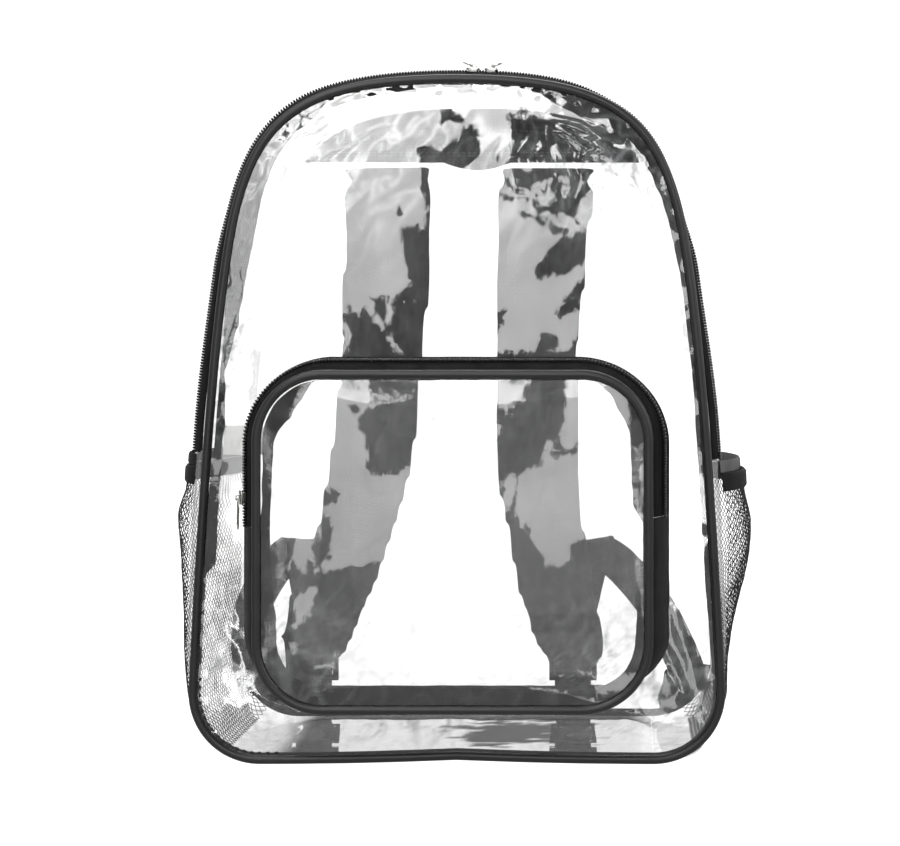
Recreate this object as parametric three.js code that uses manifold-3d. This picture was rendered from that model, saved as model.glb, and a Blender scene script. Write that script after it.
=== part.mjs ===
// A clear vinyl backpack that stands on its base, in millimetres.
// +Z is up, the front faces -Y and +X is to the right as seen from the front.
// The origin is on the floor, midway between the front and the back panel.
import * as THREE from "three";
import { mergeVertices } from "three/addons/utils/BufferGeometryUtils.js";
import Module from "manifold-3d";

const wasm = await Module();
wasm.setup();

// Driving sizes of the body
const WIDTH = 323; // front panel, between the centres of the piping
const HEIGHT = 419; // the same, from the floor to the top of the arch
const DEPTH = 140; // front seam to back seam
const CORNER_R = 41; // lower corners
const SHOULDER_X = 138; // half width where the arch begins
const SHOULDER_Z = 327; // height where the arch begins
const GUSSET_FLARE = 11; // how far the gusset swells past its seams at the zip, at the most
const BOTTOM_RISE = 2.5; // how much the lower seams lift between the corners
const FRONT_BULGE = 4; // how far the front panel swells in its middle

// The handles of the outline's side and arch: out is a share of the half width at their own end,
// up a share of the way from that curve's foot to its top.
const SIDE_LOW = { out: 0.972, up: 0.33 };
const SIDE_HIGH = { out: 1.083, up: 0.78 };
const ARCH_LOW = { out: 0.9, up: 0.76 };
const ARCH_HIGH = { out: 0.69, up: 1 };

// The share of the gusset's flare that each side has at a share of the height.
const FLARE = [
  { up: 0, left: 0, right: 0 },
  { up: 0.2, left: 0.82, right: 0.55 },
  { up: 0.5, left: 1, right: 0.72 },
  { up: 0.72, left: 0.82, right: 0.46 },
  { up: 0.82, left: 0.64, right: 0.13 },
  { up: 0.96, left: 0.68, right: 0.31 },
  { up: 1, left: 0.57, right: 0.57 },
];

// Sheets, bands and gaps
const VINYL = 1;
const FABRIC = 1.2;
const BINDING = 1.5;
const WEBBING = 1.5;
const WEBBING_WIDTH = 25;
const GAP = 0.3;
const PIPING_R = 2.8;
const SEAM_WIDTH = 9; // the seam allowance seen inside the piping
const SEAM_THICKNESS = 1;
const FLOOR_SLOPE = 15; // the floor panel's run from its seams down to the ground
const BACK_BINDING_HEIGHT = 5;
const BACK_BINDING_RUN = 0.9; // how much of each lower corner it follows

// Main zip
const TAPE_WIDTH = 11;
const COIL_WIDTH = 6;
const COIL_HEIGHT = 1.6;
const ZIP_END_LEFT = 189.5; // height of its left end
const ZIP_END_RIGHT = 185;
const SLIDER_X = [8.5, 19.5]; // the two sliders, right of the middle
const SLIDER_LENGTH = 8;
const SLIDER_WIDTH = 10;
const SLIDER_FLANGE = 1;
const SLIDER_PLATE = 1.2;
const BAIL_LENGTH = 5;
const BAIL_HEIGHT = 3.4;
const WIRE = 1;
const PULL_LENGTH = 8;
const PULL_WIDTH = 6;
const PULL_TURNS = 6; // facets round a pull's end
const PULL_LEAN = 0.4; // radians from the zip

// Front pocket
const POCKET_WIDTH = 234; // between the centres of its piping
const POCKET_HEIGHT = 200;
const POCKET_BOTTOM = 38.5; // height of its lower piping
const POCKET_DEPTH = 30;
const POCKET_R = 40;
const POCKET_SIDE_FLARE = 13.5; // how far its wall spreads from front to base
const POCKET_TOP_FLARE = 11;
const POCKET_BOTTOM_RISE = 9; // how far its floor climbs towards the base
const POCKET_BULGE = 5;
const POCKET_ZIP_END_LEFT = 147;
const POCKET_ZIP_END_RIGHT = 153;
const POCKET_TAPE_WIDTH = 11;
const POCKET_SLIDER_Z = 164;
const POCKET_PULL_LENGTH = 20;
const POCKET_PULL_LEAN = 0.02;
const POCKET_SEAM_WIDTH = 11;

// Back and straps
const BAND_HEIGHT = 37; // the fabric band at the top of the back
const STRAP_WIDTH = 66;
const STRAP_THICKNESS = 10;
const STRAP_END_Z = 20;
const STRAP_BOW = 9; // how far a strap stands off the back in its middle
const STRAP_REST = 3; // and at its lower end
const TAIL_Z = 4; // height of the webbing's loose end
const LOOP_TOP_Z = 121; // where the lower webbing turns over
const LOOP_X_LEFT = 127;
const LOOP_X_RIGHT = 82;
const LOOP_DEPTH = 9;
const LOOP_BOW = 9; // how far the webbing bows out on its way up from the corner
const HAUL_SPAN = 84;
const HAUL_BELOW = 18; // from the top of the back to the middle of the handle's ends
const HAUL_DROOP = 10;
const HAUL_STANDOFF = 16;
const LOCK_WIDTH = 33;
const LOCK_HEIGHT = 27;
const LOCK_THICKNESS = 3;
const LOCK_BAR = 4;
const LOCK_Z = 24; // height of its lower edge
const LOCK_AIR = 1.5; // room for the webbing between it and the strap
const LOCK_CLEAR = 1.5; // from the adjuster's bar to the middle of the webbing round it
const CORNER_TAB = 44;
const TAB_REACH = { ends: 0.3, middle: 0.62 }; // its width along the corner, as shares of its size
const BELOW_LOCK = 4; // how far under the adjuster the webbing comes out flat
const ABOVE_LOCK = 6; // how far over it the webbing and its loop come together

// Side pockets, seam tapes and label
const HEM_Z_LEFT = 170; // top of the net
const HEM_Z_RIGHT = 165.5;
const HEM_HEIGHT = 11.5;
const HEM_THICKNESS = 2.2;
const NET_BULGE_LEFT = 10; // how far each net stands off the side in its middle
const NET_BULGE_RIGHT = 20;
const NET = 1.2;
const END_TAPE = 7.5; // height of the tape that covers each end of the zip
const END_TAPE_STANDOFF = 0.85; // how far it bows out, as a share of the net's hem below it
const LABEL_LIFT = 2; // the label's middle above the left end of the zip
const LABEL_INSET = 9; // its edge from the middle of the piping
const LABEL_WIDTH = 24;
const LABEL_HEIGHT = 21;
const LABEL_THICKNESS = 0.6;

// Facets
const STEPS = { bottom: 4, corner: 5, side: 9, arch: 10 };
const POCKET_STEPS = { bottom: 3, corner: 5, side: 4, top: 3 };
const PIPING_SIDES = 8;

const FRONT_Y = -DEPTH / 2;
const BACK_Y = DEPTH / 2;
const ZIP_SHARE = (PIPING_R + GAP + TAPE_WIDTH + COIL_WIDTH / 2) / DEPTH;
const CENTRE_Z = HEIGHT / 2;

const clamp = THREE.MathUtils.clamp;
const lerp = THREE.MathUtils.lerp;
const smoothstep = THREE.MathUtils.smoothstep;

// Solids from grids of points

// One closed body from its faces: shared corners are merged and faces that shrank to nothing go.
function closedBody(triangles) {
  const flat = triangles.flatMap((p) => [p.x, p.y, p.z]);
  const loose = new THREE.BufferGeometry();
  loose.setAttribute("position", new THREE.Float32BufferAttribute(flat, 3));
  const merged = mergeVertices(loose, 1e-3);
  const old = merged.index.array;
  const kept = [];
  for (let i = 0; i < old.length; i += 3) {
    const [a, b, c] = [old[i], old[i + 1], old[i + 2]];
    if (a !== b && b !== c && c !== a) kept.push(a, b, c);
  }
  merged.setIndex(kept);
  return merged;
}

function quad(out, a, b, c, d) {
  out.push(a, b, c, a, c, d);
}

// A wall between two grids: outer[i][j] and inner[i][j]. A closed wall joins its last row to its first.
function wall(outer, inner, closed = false) {
  const rows = outer.length;
  const columns = outer[0].length;
  const out = [];
  const last = closed ? rows : rows - 1;
  for (let i = 0; i < last; i++) {
    const n = (i + 1) % rows;
    for (let j = 0; j < columns - 1; j++) {
      quad(out, outer[i][j], outer[i][j + 1], outer[n][j + 1], outer[n][j]);
      quad(out, inner[i][j], inner[n][j], inner[n][j + 1], inner[i][j + 1]);
    }
    const e = columns - 1;
    quad(out, outer[i][0], outer[n][0], inner[n][0], inner[i][0]);
    quad(out, outer[i][e], inner[i][e], inner[n][e], outer[n][e]);
  }
  if (!closed) {
    const e = rows - 1;
    for (let j = 0; j < columns - 1; j++) {
      quad(out, outer[0][j], inner[0][j], inner[0][j + 1], outer[0][j + 1]);
      quad(out, outer[e][j], outer[e][j + 1], inner[e][j + 1], inner[e][j]);
    }
  }
  return outward(closedBody(out));
}

// A rod through convex sections of the same number of points, with flat ends or joined in a ring.
function rod(sections, closed = false) {
  const out = [];
  const rows = sections.length;
  const sides = sections[0].length;
  for (let i = 0; i < (closed ? rows : rows - 1); i++) {
    const n = (i + 1) % rows;
    for (let j = 0; j < sides; j++) {
      const k = (j + 1) % sides;
      quad(out, sections[i][j], sections[i][k], sections[n][k], sections[n][j]);
    }
  }
  if (!closed) {
    for (let j = 1; j < sides - 1; j++) {
      out.push(sections[0][0], sections[0][j + 1], sections[0][j]);
      out.push(sections[rows - 1][0], sections[rows - 1][j], sections[rows - 1][j + 1]);
    }
  }
  return outward(closedBody(out));
}

// The same body with its faces turned out if its volume came out negative.
function outward(geometry) {
  const p = geometry.attributes.position;
  const index = geometry.index.array;
  const at = (i) => new THREE.Vector3().fromBufferAttribute(p, index[i]);
  let volume = 0;
  for (let i = 0; i < index.length; i += 3) {
    volume += at(i).dot(at(i + 1).cross(at(i + 2)));
  }
  if (volume < 0) {
    for (let i = 0; i < index.length; i += 3) {
      [index[i + 1], index[i + 2]] = [index[i + 2], index[i + 1]];
    }
  }
  return geometry;
}

function toManifold(geometry) {
  const bare = geometry.clone();
  bare.deleteAttribute("normal");
  bare.deleteAttribute("uv");
  const merged = mergeVertices(bare, 1e-4);
  const index = merged.index.array;
  const mesh = new wasm.Mesh({
    numProp: 3,
    vertProperties: new Float32Array(merged.attributes.position.array),
    triVerts: new Uint32Array(index),
  });
  return new wasm.Manifold(mesh);
}

function fromManifold(solid) {
  const mesh = solid.getMesh();
  const geometry = new THREE.BufferGeometry();
  geometry.setAttribute("position", new THREE.BufferAttribute(mesh.vertProperties, 3));
  geometry.setIndex(new THREE.BufferAttribute(mesh.triVerts, 1));
  return geometry;
}

// Outlines in the X-Z plane

// A symmetric closed outline from the curves of its right half, bottom to top. A place on it is a
// number: 0 is the bottom middle, the whole numbers are the joints between curves, going up the
// right side, over the top and down the left side.
class Outline {
  constructor(half, steps) {
    this.half = half;
    this.steps = steps;
    this.top = half.length;
    this.end = 2 * half.length;
  }

  // The point at a place, with its outward direction.
  station(place) {
    const whole = ((place % this.end) + this.end) % this.end;
    const mirrored = whole > this.top;
    const right = mirrored ? this.end - whole : whole;
    const k = Math.min(Math.floor(right), this.top - 1);
    const point = this.half[k].getPoint(right - k);
    const tangent = this.half[k].getTangent(clamp(right - k, 1e-4, 1 - 1e-4));
    const side = mirrored ? -1 : 1;
    return {
      place: whole,
      x: side * point.x,
      z: point.y,
      nx: side * tangent.y,
      nz: -tangent.x,
    };
  }

  // All places with a facet edge between two places, both ends included.
  places(from, to) {
    const inside = [];
    for (let turn = -1; turn <= 1; turn++) {
      for (let k = 0; k < this.end; k++) {
        const n = this.steps[k < this.top ? k : this.end - 1 - k];
        for (let i = 0; i < n; i++) {
          const place = turn * this.end + k + i / n;
          if (place > from + 1e-6 && place < to - 1e-6) inside.push(place);
        }
      }
    }
    return [from, ...inside, to];
  }

  stations(from, to) {
    return this.places(from, to).map((p) => this.station(p));
  }

  ring() {
    return this.stations(0, this.end).slice(0, -1);
  }

  // The place on one curve where the outline reaches a height.
  placeAtHeight(curve, z, left) {
    let [low, high] = [curve, curve + 1];
    for (let i = 0; i < 40; i++) {
      const middle = (low + high) / 2;
      if (this.station(middle).z < z) low = middle;
      else high = middle;
    }
    return left ? this.end - low : low;
  }

  // Half the width at a height, for heights on the curves above the bottom edge.
  halfWidth(z) {
    const curve = this.half.findIndex((c, k) => k > 0 && c.getPoint(1).y >= z - 1e-6);
    return this.station(this.placeAtHeight(curve < 0 ? this.top - 1 : curve, z, false)).x;
  }
}

function bodyOutline() {
  const foot = PIPING_R;
  const inner = WIDTH / 2 - CORNER_R;
  const v = (x, z) => new THREE.Vector2(x, z);
  const corner = new THREE.EllipseCurve(inner, foot + CORNER_R, CORNER_R, CORNER_R, -Math.PI / 2, 0);
  const side = new THREE.CubicBezierCurve(
    v(WIDTH / 2, foot + CORNER_R),
    v((WIDTH / 2) * SIDE_LOW.out, lerp(foot + CORNER_R, SHOULDER_Z, SIDE_LOW.up)),
    v(SHOULDER_X * SIDE_HIGH.out, lerp(foot + CORNER_R, SHOULDER_Z, SIDE_HIGH.up)),
    v(SHOULDER_X, SHOULDER_Z),
  );
  const arch = new THREE.CubicBezierCurve(
    v(SHOULDER_X, SHOULDER_Z),
    v(SHOULDER_X * ARCH_LOW.out, lerp(SHOULDER_Z, HEIGHT, ARCH_LOW.up)),
    v(SHOULDER_X * ARCH_HIGH.out, lerp(SHOULDER_Z, HEIGHT, ARCH_HIGH.up)),
    v(0, HEIGHT),
  );
  const bottom = new THREE.QuadraticBezierCurve(v(0, foot + BOTTOM_RISE), v(inner / 2, foot), v(inner, foot));
  return new Outline([bottom, corner, side, arch], [STEPS.bottom, STEPS.corner, STEPS.side, STEPS.arch]);
}

function pocketOutline() {
  const inner = POCKET_WIDTH / 2 - POCKET_R;
  const low = POCKET_BOTTOM;
  const high = POCKET_BOTTOM + POCKET_HEIGHT;
  const v = (x, z) => new THREE.Vector2(x, z);
  const s = POCKET_STEPS;
  return new Outline(
    [
      new THREE.LineCurve(v(0, low), v(inner, low)),
      new THREE.EllipseCurve(inner, low + POCKET_R, POCKET_R, POCKET_R, -Math.PI / 2, 0),
      new THREE.LineCurve(v(POCKET_WIDTH / 2, low + POCKET_R), v(POCKET_WIDTH / 2, high - POCKET_R)),
      new THREE.EllipseCurve(inner, high - POCKET_R, POCKET_R, POCKET_R, 0, Math.PI / 2),
      new THREE.LineCurve(v(inner, high), v(0, high)),
    ],
    [s.bottom, s.corner, s.side, s.corner, s.top],
  );
}

const body = bodyOutline();
const pocket = pocketOutline();

// How far the front panel swells forward at a place.
function frontBulge(x, z) {
  const across = clamp(1 - (x / (WIDTH / 2)) ** 2, 0, 1);
  const up = clamp(1 - ((z - CENTRE_Z) / CENTRE_Z) ** 2, 0, 1);
  return FRONT_BULGE * across * up;
}

function pocketBulge(x, z) {
  const centre = POCKET_BOTTOM + POCKET_HEIGHT / 2;
  const across = clamp(1 - (x / (POCKET_WIDTH / 2)) ** 2, 0, 1);
  const up = clamp(1 - ((z - centre) / (POCKET_HEIGHT / 2)) ** 2, 0, 1);
  return POCKET_BULGE * across * up;
}

// The gusset's swell at the zip at a height on one side, by smooth steps through the table.
function flareAt(z, side) {
  const up = clamp(z / HEIGHT, 0, 1);
  const k = Math.max(1, FLARE.findIndex((row) => row.up >= up - 1e-9));
  const [low, high] = [FLARE[k - 1], FLARE[k]];
  return GUSSET_FLARE * lerp(low[side], high[side], smoothstep(up, low.up, high.up));
}

// The gusset's swell outside the seam line: fullest at the zip, straighter behind it, and flat where
// it meets the floor.
function gussetOffset(st, y) {
  const share = clamp((y - FRONT_Y) / DEPTH, 0, 1);
  const shape = (share / ZIP_SHARE) ** 0.6 * ((1 - share) / (1 - ZIP_SHARE)) ** 3;
  const swell = flareAt(st.z, st.x < 0 ? "left" : "right") * shape;
  const flat = clamp((DEPTH / 2 - Math.abs(y)) / FLOOR_SLOPE, 0, 1);
  const down = smoothstep(-st.nz, 0.6, 0.98);
  return lerp(swell, (st.z / Math.max(-st.nz, 0.5)) * flat, down);
}

function offsetPoint(st, offset, y) {
  return new THREE.Vector3(st.x + st.nx * offset, y, st.z + st.nz * offset);
}

// A strip of the gusset between two places and two depths, lifted off the swell by a function.
function gussetStrip(from, to, depths, thickness, lift = () => 0) {
  const stations = body.stations(from, to);
  const grid = (extra) =>
    stations.map((st) => depths.map((y) => offsetPoint(st, gussetOffset(st, y) + lift(st, y) + extra, y)));
  return wall(grid(0), grid(-thickness));
}

function evenly(from, to, count) {
  return Array.from({ length: count + 1 }, (_, i) => lerp(from, to, i / count));
}

// A flat ring inside an outline, between two offsets.
function flatRing(outline, outerOffset, innerOffset, y, thickness) {
  const across = [outerOffset, innerOffset];
  const row = (depth) => outline.ring().map((st) => across.map((o) => offsetPoint(st, o, depth)));
  return wall(row(y), row(y + thickness), true);
}

function pipingRing(outline, y) {
  const sections = outline.ring().map((st) =>
    Array.from({ length: PIPING_SIDES }, (_, j) => {
      const a = ((j + 0.5) / PIPING_SIDES) * 2 * Math.PI;
      return offsetPoint(st, PIPING_R * Math.cos(a), y + PIPING_R * Math.sin(a));
    }),
  );
  return rod(sections, true);
}

const flatSheet = () => 0;

// How far the lower seams stand above the corners' foot at a distance from the middle.
function bottomRise(x, z) {
  const inner = WIDTH / 2 - CORNER_R;
  const fade = clamp(1 - (z - PIPING_R) / CORNER_R, 0, 1);
  return BOTTOM_RISE * clamp(1 - Math.abs(x) / inner, 0, 1) ** 2 * fade;
}

// A sheet inside an outline: rows across it at each height, from one side to the other.
function sheetInside(outline, inset, fromPlace, columns, yFront, thickness, bulge, rise = flatSheet) {
  const rows = outline.stations(fromPlace, outline.top).map((st) => ({
    half: Math.max(0, st.x - inset * st.nx),
    z: st.z - inset * st.nz,
  }));
  rows[rows.length - 1].half = 0;
  const grid = (back) =>
    rows.map((r) =>
      evenly(-1, 1, columns).map((s) => {
        const x = r.half * s;
        return new THREE.Vector3(x, yFront - bulge(x, r.z) + back, r.z + rise(x, r.z));
      }),
    );
  return wall(grid(0), grid(thickness));
}

// Shell
const zipRight = body.placeAtHeight(2, ZIP_END_RIGHT, false);
const zipLeft = body.placeAtHeight(2, ZIP_END_LEFT, true);
const SEAM = 0.002; // half a seam's gap, as a share of one curve of the outline
const tapeFrontY = FRONT_Y + PIPING_R + GAP;
const coilY = tapeFrontY + TAPE_WIDTH + GAP;
const tapeRearY = coilY + COIL_WIDTH + GAP;
const gussetY = tapeRearY + TAPE_WIDTH + GAP;
const gussetEndY = BACK_Y - VINYL - GAP;
const sideDepths = [tapeFrontY, ...evenly(coilY, gussetEndY, 6)];

function frontPanel() {
  return sheetInside(body, PIPING_R + GAP, 1, 8, FRONT_Y - VINYL / 2, VINYL, frontBulge, bottomRise);
}

function backPanel() {
  return sheetInside(body, 0, 1, 8, BACK_Y - VINYL, VINYL, flatSheet, bottomRise);
}

function upperGusset() {
  return gussetStrip(zipRight + SEAM, zipLeft - SEAM, evenly(gussetY, gussetEndY, 5), VINYL);
}

function sidePanel(left) {
  const from = left ? zipLeft + SEAM : 1 + SEAM;
  const to = left ? body.end - 1 - SEAM : zipRight - SEAM;
  return gussetStrip(from, to, sideDepths, VINYL);
}

function bottomPanel() {
  const depths = [tapeFrontY, FRONT_Y + FLOOR_SLOPE, 0, BACK_Y - FLOOR_SLOPE, gussetEndY];
  return gussetStrip(body.end - 1 + SEAM, body.end + 1 - SEAM, depths, VINYL);
}

function frontSeam() {
  const y = FRONT_Y + VINYL / 2 + GAP;
  return flatRing(body, -PIPING_R - GAP, -PIPING_R - SEAM_WIDTH, y, SEAM_THICKNESS);
}

function backBottomBinding() {
  const stations = body.stations(body.end - 1 - BACK_BINDING_RUN, body.end + 1 + BACK_BINDING_RUN);
  const grid = (y) => stations.map((st) => [0, -BACK_BINDING_HEIGHT].map((o) => offsetPoint(st, o, y)));
  return wall(grid(BACK_Y + GAP), grid(BACK_Y + GAP + BINDING));
}

// Zips

function mainTape(y) {
  return gussetStrip(zipRight + SEAM, zipLeft - SEAM, evenly(y, y + TAPE_WIDTH, 2), FABRIC);
}

// A coil's section over a tape: how far across it and how far above the tape each corner lies.
const COIL_SECTION = [
  { across: 0, above: -FABRIC },
  { across: 0, above: COIL_HEIGHT / 2 },
  { across: 0.25, above: COIL_HEIGHT },
  { across: 0.75, above: COIL_HEIGHT },
  { across: 1, above: COIL_HEIGHT / 2 },
  { across: 1, above: -FABRIC },
];

function mainCoil() {
  const sections = body.stations(zipRight + SEAM, zipLeft - SEAM).map((st) =>
    COIL_SECTION.map(({ across, above }) => {
      const y = coilY + across * COIL_WIDTH;
      return offsetPoint(st, gussetOffset(st, y) + above, y);
    }),
  );
  return rod(sections);
}

// A slider that straddles the coil: its plate, two flanges and the bail that holds the pull.
// Its own frame has X along the zip, Y across it and Z out of it, with the coil's top just below 0.
function sliderBody() {
  const plate = new THREE.BoxGeometry(SLIDER_LENGTH, SLIDER_WIDTH, SLIDER_PLATE);
  plate.translate(0, 0, GAP + SLIDER_PLATE / 2);
  let solid = toManifold(plate);
  const flange = SLIDER_FLANGE;
  for (const side of [-1, 1]) {
    const leg = new THREE.BoxGeometry(SLIDER_LENGTH * 0.7, flange, COIL_HEIGHT + SLIDER_PLATE / 2);
    leg.translate(0, (side * (SLIDER_WIDTH - flange)) / 2, GAP + (SLIDER_PLATE / 2 - COIL_HEIGHT) / 2);
    solid = solid.add(toManifold(leg));
  }
  const arch = new THREE.Shape();
  arch.moveTo(-BAIL_LENGTH / 2, 0);
  arch.lineTo(BAIL_LENGTH / 2, 0);
  arch.lineTo(BAIL_LENGTH * 0.32, BAIL_HEIGHT);
  arch.lineTo(-BAIL_LENGTH * 0.32, BAIL_HEIGHT);
  const hole = new THREE.Path();
  hole.moveTo(-BAIL_LENGTH * 0.27, SLIDER_PLATE * 0.6);
  hole.lineTo(-BAIL_LENGTH * 0.18, BAIL_HEIGHT - WIRE * 0.8);
  hole.lineTo(BAIL_LENGTH * 0.18, BAIL_HEIGHT - WIRE * 0.8);
  hole.lineTo(BAIL_LENGTH * 0.27, SLIDER_PLATE * 0.6);
  arch.holes.push(hole);
  const bail = new THREE.ExtrudeGeometry(arch, { depth: WIRE * 1.4, bevelEnabled: false });
  bail.translate(0, 0, -WIRE * 0.7);
  bail.rotateX(Math.PI / 2);
  bail.translate(0, 0, GAP + SLIDER_PLATE * 0.4);
  return fromManifold(solid.add(toManifold(bail)));
}

// A wire ring that hangs in the bail, in the slider's own frame, leaning by an angle from the zip.
function wirePull(length, width, lean) {
  const r = width / 2 - WIRE / 2;
  const run = length - WIRE - 2 * r;
  const centres = [];
  for (let i = 0; i <= PULL_TURNS; i++) {
    const a = (i / PULL_TURNS) * Math.PI;
    centres.push({ u: r + run + r * Math.sin(a), v: r * Math.cos(a), du: Math.cos(a), dv: -Math.sin(a) });
  }
  const corners = [
    { u: 0, v: -r, du: -1, dv: 1 },
    { u: 0, v: r, du: 1, dv: 1 },
  ];
  const seat = GAP + SLIDER_PLATE + (BAIL_HEIGHT - SLIDER_PLATE) * 0.42;
  const sections = [...corners, ...centres].map(({ u, v, du, dv }) => {
    const size = Math.hypot(du, dv);
    return Array.from({ length: 6 }, (_, j) => {
      const a = (j / 6) * 2 * Math.PI;
      const across = (WIRE / 2) * Math.cos(a);
      const above = (WIRE / 2) * Math.sin(a);
      const pu = u + (dv / size) * across;
      const pv = v - (du / size) * across;
      return new THREE.Vector3(
        pu * Math.cos(lean) - above * Math.sin(lean),
        pv,
        seat + pu * Math.sin(lean) + above * Math.cos(lean),
      );
    });
  });
  return rod(sections, true);
}

// The frame of a slider on a zip: along it, across it and out of it, at the top of the coil.
function zipFrame(pointAt, place, flip) {
  const low = pointAt(place, 0, COIL_HEIGHT);
  const high = pointAt(place, 1, COIL_HEIGHT);
  const next = pointAt(place + 0.01, 0, COIL_HEIGHT);
  const across = high.clone().sub(low).normalize();
  const along = next.sub(low).normalize().multiplyScalar(flip);
  const out = new THREE.Vector3().crossVectors(along, across).normalize();
  if (out.dot(pointAt(place, 0.5, 2 * COIL_HEIGHT).sub(pointAt(place, 0.5, 0))) < 0) {
    out.negate();
    across.negate();
  }
  const trueAlong = new THREE.Vector3().crossVectors(across, out);
  const frame = new THREE.Matrix4().makeBasis(trueAlong, across, out);
  return frame.setPosition(low.add(high).multiplyScalar(0.5));
}

function mainCoilPoint(place, across, above) {
  const st = body.station(place);
  const y = coilY + across * COIL_WIDTH;
  return offsetPoint(st, gussetOffset(st, y) + above, y);
}

function topPlaceAt(x) {
  let [low, high] = [body.top - 1, body.top];
  for (let i = 0; i < 40; i++) {
    const middle = (low + high) / 2;
    if (body.station(middle).x > x) low = middle;
    else high = middle;
  }
  return low;
}

// Front pocket
const pocketY = FRONT_Y - POCKET_DEPTH;
const pocketZipRight = pocket.placeAtHeight(2, POCKET_ZIP_END_RIGHT, false);
const pocketZipLeft = pocket.placeAtHeight(2, POCKET_ZIP_END_LEFT, true);

// How far the pocket's wall lies outside its piping at a share of the way from the front to the base.
function pocketOffset(st, share) {
  const up = Math.max(0, st.nz) ** 2;
  const down = Math.max(0, -st.nz) ** 2;
  const spread = (1 - up - down) * POCKET_SIDE_FLARE + up * POCKET_TOP_FLARE;
  return spread * share ** 0.5 - down * POCKET_BOTTOM_RISE * share;
}

function pocketPoint(st, share, above) {
  const p = offsetPoint(st, pocketOffset(st, share) + above, 0);
  const front = pocketY + PIPING_R + GAP;
  const base = FRONT_Y - VINYL / 2 - GAP - frontBulge(p.x, p.z);
  p.y = lerp(front, base, share);
  return p;
}

function pocketStrip(from, to, shares) {
  const stations = pocket.stations(from, to);
  const grid = (above) => stations.map((st) => shares.map((s) => pocketPoint(st, s, above)));
  return wall(grid(0), grid(-FABRIC));
}

const POCKET_WALL = POCKET_DEPTH - PIPING_R - VINYL / 2 - 2 * GAP;
const pocketCoilFrom = POCKET_TAPE_WIDTH / POCKET_WALL;
const pocketCoilTo = pocketCoilFrom + COIL_WIDTH / POCKET_WALL;
const shareGap = GAP / POCKET_WALL;

function pocketTapeFront() {
  return pocketStrip(pocketZipRight, pocketZipLeft, evenly(0, pocketCoilFrom - shareGap, 2));
}

function pocketTapeRear() {
  return pocketStrip(pocketZipRight, pocketZipLeft, evenly(pocketCoilTo + shareGap, 1, 2));
}

function pocketGusset() {
  return pocketStrip(pocketZipLeft + SEAM, pocket.end + pocketZipRight - SEAM, evenly(0, 1, 4));
}

function pocketCoilPoint(place, across, above) {
  return pocketPoint(pocket.station(place), lerp(pocketCoilFrom, pocketCoilTo, across), above);
}

function pocketCoil() {
  const places = pocket.places(pocketZipRight, pocketZipLeft);
  return rod(places.map((p) => COIL_SECTION.map((c) => pocketCoilPoint(p, c.across, c.above))));
}

function pocketPanel() {
  return sheetInside(pocket, PIPING_R + GAP, 1, 6, pocketY - VINYL / 2, VINYL, pocketBulge);
}

function pocketSeam() {
  const y = pocketY + VINYL / 2 + GAP;
  return flatRing(pocket, -PIPING_R - GAP, -PIPING_R - POCKET_SEAM_WIDTH, y, SEAM_THICKNESS);
}

// Back
const bandZ = HEIGHT - BAND_HEIGHT;

function topBand() {
  const from = body.placeAtHeight(3, bandZ, false);
  return sheetInside(body, 0, from, 2, BACK_Y + GAP, BINDING, flatSheet);
}

// A shoulder strap's rows from its lower end to the band. up is a share of the strap's height,
// across of half the bag's width, wide of the strap's width and thick of its thickness.
const LEFT_STRAP = [
  { up: 0, across: -0.724, wide: 0.34, thick: 0.4 },
  { up: 0.025, across: -0.715, wide: 0.6, thick: 0.75 },
  { up: 0.075, across: -0.69, wide: 0.76, thick: 0.8 },
  { up: 0.17, across: -0.63, wide: 0.93, thick: 0.95 },
  { up: 0.3, across: -0.525, wide: 0.9, thick: 1 },
  { up: 0.4, across: -0.467, wide: 0.95, thick: 1 },
  { up: 0.49, across: -0.437, wide: 0.95, thick: 1 },
  { up: 0.65, across: -0.405, wide: 0.95, thick: 1 },
  { up: 0.8, across: -0.382, wide: 1, thick: 1 },
  { up: 0.93, across: -0.373, wide: 1, thick: 0.9 },
  { up: 1, across: -0.37, wide: 1, thick: 0.4 },
];
const RIGHT_STRAP = [
  { up: 0, across: 0.437, wide: 0.34, thick: 0.4 },
  { up: 0.025, across: 0.43, wide: 0.62, thick: 0.75 },
  { up: 0.075, across: 0.39, wide: 0.82, thick: 0.8 },
  { up: 0.17, across: 0.345, wide: 0.89, thick: 0.95 },
  { up: 0.3, across: 0.295, wide: 0.89, thick: 1 },
  { up: 0.4, across: 0.258, wide: 0.93, thick: 1 },
  { up: 0.49, across: 0.252, wide: 0.96, thick: 1 },
  { up: 0.65, across: 0.255, wide: 0.96, thick: 1 },
  { up: 0.8, across: 0.272, wide: 1.03, thick: 1 },
  { up: 0.93, across: 0.295, wide: 1.07, thick: 0.9 },
  { up: 1, across: 0.305, wide: 1.08, thick: 0.4 },
];
const STRAP_SIDES = 10;

// How far a strap's inner face stands off the back at a share of its height.
function strapStandoff(up) {
  return STRAP_BOW * Math.sin(Math.PI * clamp(up, 0, 1) ** 0.75) + STRAP_REST * (1 - up);
}

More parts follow.
